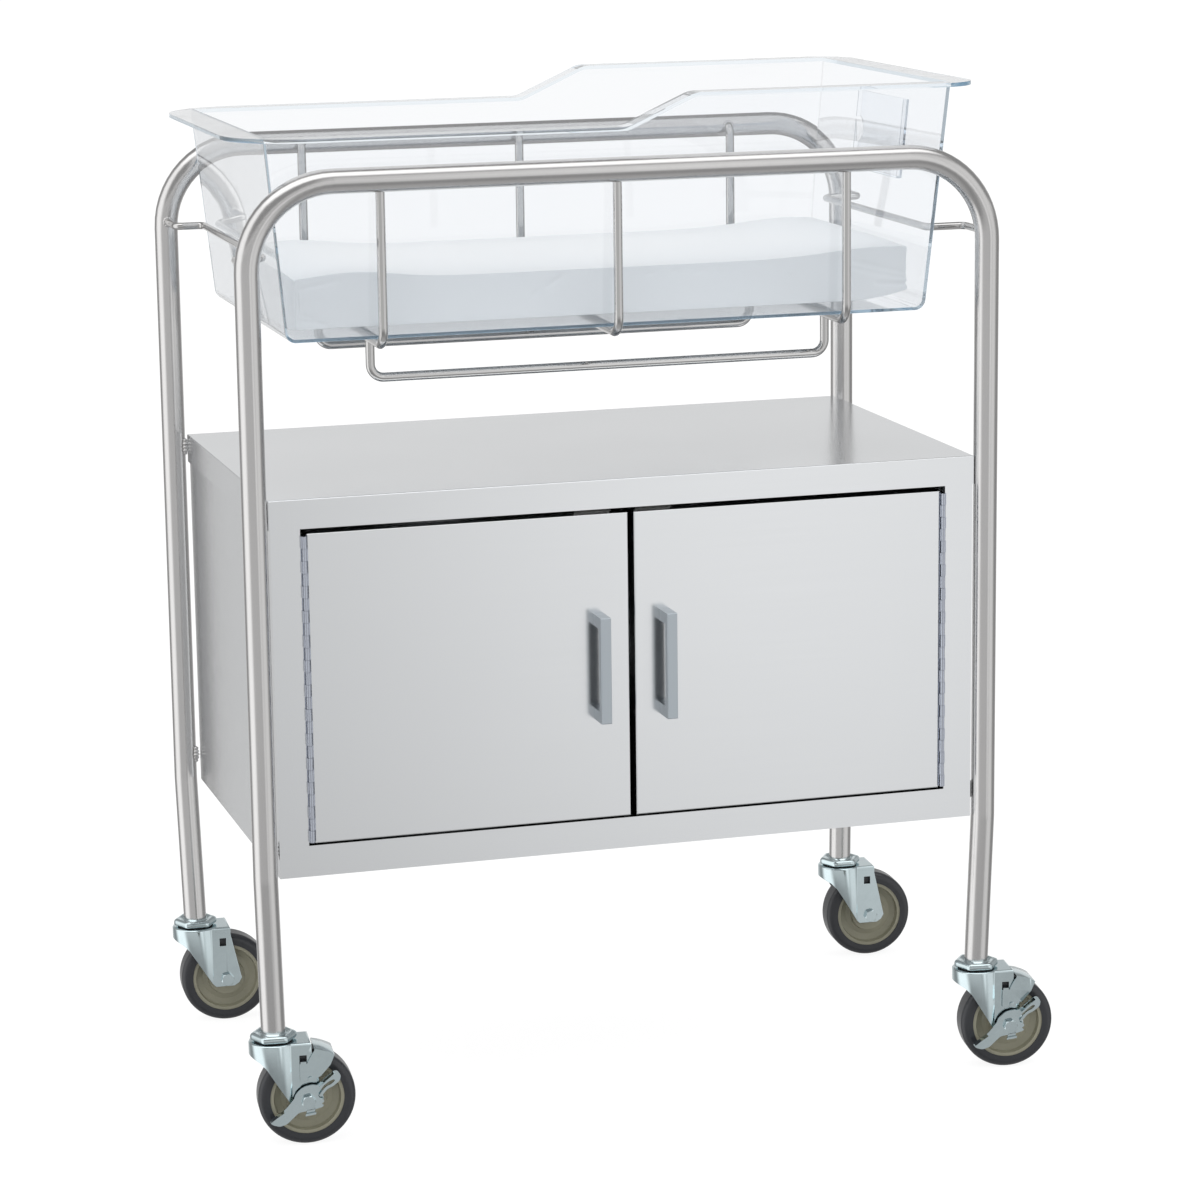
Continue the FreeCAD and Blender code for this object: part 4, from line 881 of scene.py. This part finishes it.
# ---------------------------------------------------------------- caster edges
def soften_casters():
    """Ease the edges of the casters' plated solids."""
    for corner in CASTER_TURN:
        soften(nodes["fork_" + corner], EASED_EDGE["fork"])
        soften(nodes["axle_" + corner], EASED_EDGE["axle"])
    for corner in BRAKED:
        soften(nodes["brake_shoe_" + corner], EASED_EDGE["brake_shoe"])


# ---------------------------------------------------------------- stem nuts
# Section of a nut in millimetres: round rows give a radius, flat rows how far inside the hexagon they
# lie; the last number is the height from the nut's top.
NUT_SECTION = (
    ("round", 8.05, -7.0), ("round", 8.05, 0.0), ("round", 13.0, 0.0), ("round", 13.3, -1.6),
    ("round", 15.2, -1.6), ("round", 16.3, -0.4), ("flat", 3.8, 0.0), ("flat", 2.0, -0.35),
    ("flat", 0.9, -1.1), ("flat", 0.2, -2.3), ("flat", 0.0, -3.4), ("flat", 0.0, -5.9),
    ("flat", 0.5, -6.7), ("flat", 1.5, -7.0),
)
NUT_HALF_AF = 21.5
NUT_CORNER_R = 24.2
NUT_STEPS = 72
NUT_FLAT_AT = 30
HEX_TURN = math.pi / 3


def add_nut(made, centre, turn):
    """One hexagon nut with a rounded crown and a groove round the leg."""
    rings = []
    for kind, size, height in NUT_SECTION:
        ring = []
        for step in range(NUT_STEPS):
            angle = 2 * math.pi * step / NUT_STEPS
            reach = size
            if kind == "flat":
                off_flat = (angle + HEX_TURN / 2) % HEX_TURN - HEX_TURN / 2
                reach = min(NUT_HALF_AF / math.cos(off_flat), NUT_CORNER_R) - size
            bearing = angle + math.radians(turn + NUT_FLAT_AT)
            spot = Vector((reach * math.cos(bearing), reach * math.sin(bearing), height)) / 1000
            ring.append(made.verts.new(centre + spot))
        rings.append(ring)
    for near, far in zip(rings, rings[1:] + rings[:1]):
        bridge(made, near, far)


def add_nuts(materials):
    """The four stem nuts in place of their plain solids."""
    source = nodes["stem_nuts"]
    points = [source.matrix_world @ vertex.co for vertex in source.data.vertices]
    top = max(point.z for point in points)
    made = bmesh.new()
    for corner, turn in CASTER_TURN.items():
        row, side = corner.split("_")
        sx, sy = SIDES[side], ROWS[row]
        near = [q for q in points if (q.x - MIDDLE_X) * sx > 0 and (q.y - MIDDLE_Y) * sy > 0]
        x = (min(q.x for q in near) + max(q.x for q in near)) / 2
        y = (min(q.y for q in near) + max(q.y for q in near)) / 2
        add_nut(made, Vector((x, y, top)), turn)
    bmesh.ops.recalc_face_normals(made, faces=made.faces)
    nuts = placed("stem_nut_set", mesh_of(made, "stem_nut_set"))
    nuts.data.shade_smooth()
    nuts.data.materials.append(materials["zinc_plate"])
    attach(nuts, "frame")
    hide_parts("stem_nuts")


# ---------------------------------------------------------------- welds
BEAD_R = 0.0016
BEAD_STEPS = 40
BEAD_SIDES = 10
LUMP_EVERY = 4
LUMP_EVEN = 0.22
LUMP_RANDOM = 0.1
BEAD_TAPER = 0.35

DROP_BEAD_R = 0.0012
DROP_SADDLE_R = ROD_R * 1.02

# The posts are tied to the cabinet by short upright beads at two levels. For each row: which face of
# the cabinet top they are measured from, how far out from its side and how far back from that face,
# their length and their radius.
TIE_UNDER_TOP = 0.014
TIE_OVER_FOOT = 0.028
POST_TIES = {"front": (0, 0.0008, 0.0105, 0.02, 0.0022), "rear": (1, 0.0022, 0.0016, 0.018, 0.0036)}

X_AXIS = Vector((1, 0, 0))
Y_AXIS = Vector((0, 1, 0))
Z_AXIS = Vector((0, 0, 1))


def bead_mesh(name, path, closed, radius):
    """Lumpy bead of weld metal along a path of points."""
    made = bmesh.new()
    rings = []
    count = len(path)
    for i, point in enumerate(path):
        after = path[(i + 1) % count] if closed or i + 1 < count else point
        before = path[i - 1] if closed or i else point
        along = (after - before).normalized()
        side = along.orthogonal().normalized()
        other = along.cross(side)
        lump = 1 + LUMP_EVEN * math.sin(i * 2 * math.pi / LUMP_EVERY)
        lump += random.uniform(-LUMP_RANDOM, LUMP_RANDOM)
        if not closed:
            lump *= math.sin(math.pi * (i + 0.5) / count) ** BEAD_TAPER
        ring = []
        for k in range(BEAD_SIDES):
            turn = 2 * math.pi * k / BEAD_SIDES
            out = math.cos(turn) * side + math.sin(turn) * other
            ring.append(made.verts.new(point + radius * lump * out))
        rings.append(ring)
    for i in range(count if closed else count - 1):
        near, far = rings[i], rings[(i + 1) % count]
        shift = min(range(BEAD_SIDES), key=lambda s: (near[0].co - far[s].co).length)
        bridge(made, near, far, shift)
    if not closed:
        made.faces.new(rings[0][::-1])
        made.faces.new(rings[-1])
    bmesh.ops.recalc_face_normals(made, faces=made.faces)
    mesh = mesh_of(made, name)
    mesh.shade_smooth()
    return mesh


def add_bead(materials, name, path, closed=True, radius=BEAD_R):
    """Bead of weld metal, which stays with the frame."""
    bead = placed(name, bead_mesh(name, path, closed, radius))
    bead.data.materials.append(materials["stainless_tube"])
    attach(bead, "frame")


def saddle_ring(centre, axis, along, rod_r, tube_r):
    """Closed path where a rod along axis meets a tube whose own line runs along."""
    across = axis.cross(along).normalized()
    path = []
    for i in range(BEAD_STEPS):
        turn = 2 * math.pi * i / BEAD_STEPS
        off = rod_r * math.sin(turn)
        sink = tube_r - math.sqrt(tube_r * tube_r - off * off)
        path.append(centre + along * rod_r * math.cos(turn) + across * off - axis * sink)
    return path


def upright_run(place, height):
    """Short upright path of bead points."""
    count = BEAD_STEPS // 2
    return [place + Vector((0, 0, height * (i / (count - 1) - 0.5))) for i in range(count)]


def weld_end_rods(materials, row, sy):
    """Beads where the end rods meet the two posts of a row."""
    end_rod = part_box("end_rod_left")
    z = (end_rod[0].z + end_rod[1].z) / 2
    for side, sx in SIDES.items():
        face = at(sx * POST_X, sy * (POST_Y - TUBE_R), z)
        path = saddle_ring(face, Vector((0, -sy, 0)), Z_AXIS, END_ROD_R, TUBE_R)
        add_bead(materials, f"weld_end_rod_{row}_{side}", path)


def weld_drop_rod(materials, row):
    """Beads where a drop rod meets the two end hangers."""
    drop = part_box("drop_rod_" + row)
    for side, sx in SIDES.items():
        x = drop[0].x + ROD_R if sx < 0 else drop[1].x - ROD_R
        hanger_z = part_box("tub_hanger_" + side)[0].z
        place = Vector((x, (drop[0].y + drop[1].y) / 2, hanger_z))
        path = saddle_ring(place, -Z_AXIS, Y_AXIS, ROD_R, DROP_SADDLE_R)
        add_bead(materials, f"weld_drop_rod_{row}_{side}", path, radius=DROP_BEAD_R)


def weld_hangers(materials, row, sy):
    """Beads where the hangers meet the rail of a row."""
    for side in ("left", "middle", "right"):
        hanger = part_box("tub_hanger_" + side)
        skew = (hanger[1].x - hanger[0].x) / 2 - ROD_R
        x = (hanger[0].x + hanger[1].x) / 2 + sy * skew
        face = Vector((x, MIDDLE_Y + sy * (POST_Y - TUBE_R), RAIL_Z))
        path = saddle_ring(face, Vector((0, -sy, 0)), X_AXIS, ROD_R, TUBE_R)
        add_bead(materials, f"weld_hanger_{row}_{side}", path)


def weld_posts(materials):
    """Short beads that tie the posts to the cabinet."""
    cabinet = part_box("cabinet_top")
    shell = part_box("cabinet_sides_back")
    levels = {"band": cabinet[1].z - TIE_UNDER_TOP, "foot": shell[0].z + TIE_OVER_FOOT}
    for side, sx in SIDES.items():
        wall_x = cabinet[0].x if sx < 0 else cabinet[1].x
        for level, z in levels.items():
            for row, (face, out, back, length, radius) in POST_TIES.items():
                place = Vector((wall_x + sx * out, cabinet[face].y + back, z))
                path = upright_run(place, length)
                add_bead(materials, f"weld_post_{row}_{side}_{level}", path, False, radius)


def add_welds(materials):
    """Beads where rods meet tubes and where the posts are tied to the cabinet."""
    for row, sy in ROWS.items():
        weld_end_rods(materials, row, sy)
        weld_drop_rod(materials, row)
        weld_hangers(materials, row, sy)
    weld_posts(materials)


# ---------------------------------------------------------------- the scene
add_camera()
add_world()
add_floor()
for name, (place, size, power) in LAMPS.items():
    add_lamp(name, Vector(place), size, power)
materials = make_materials()
dress_nodes(materials)
add_mattress(materials)
add_levers(materials)
add_welds(materials)
add_nuts(materials)
soften_casters()

bpy.context.scene.view_settings.view_transform = "Standard"
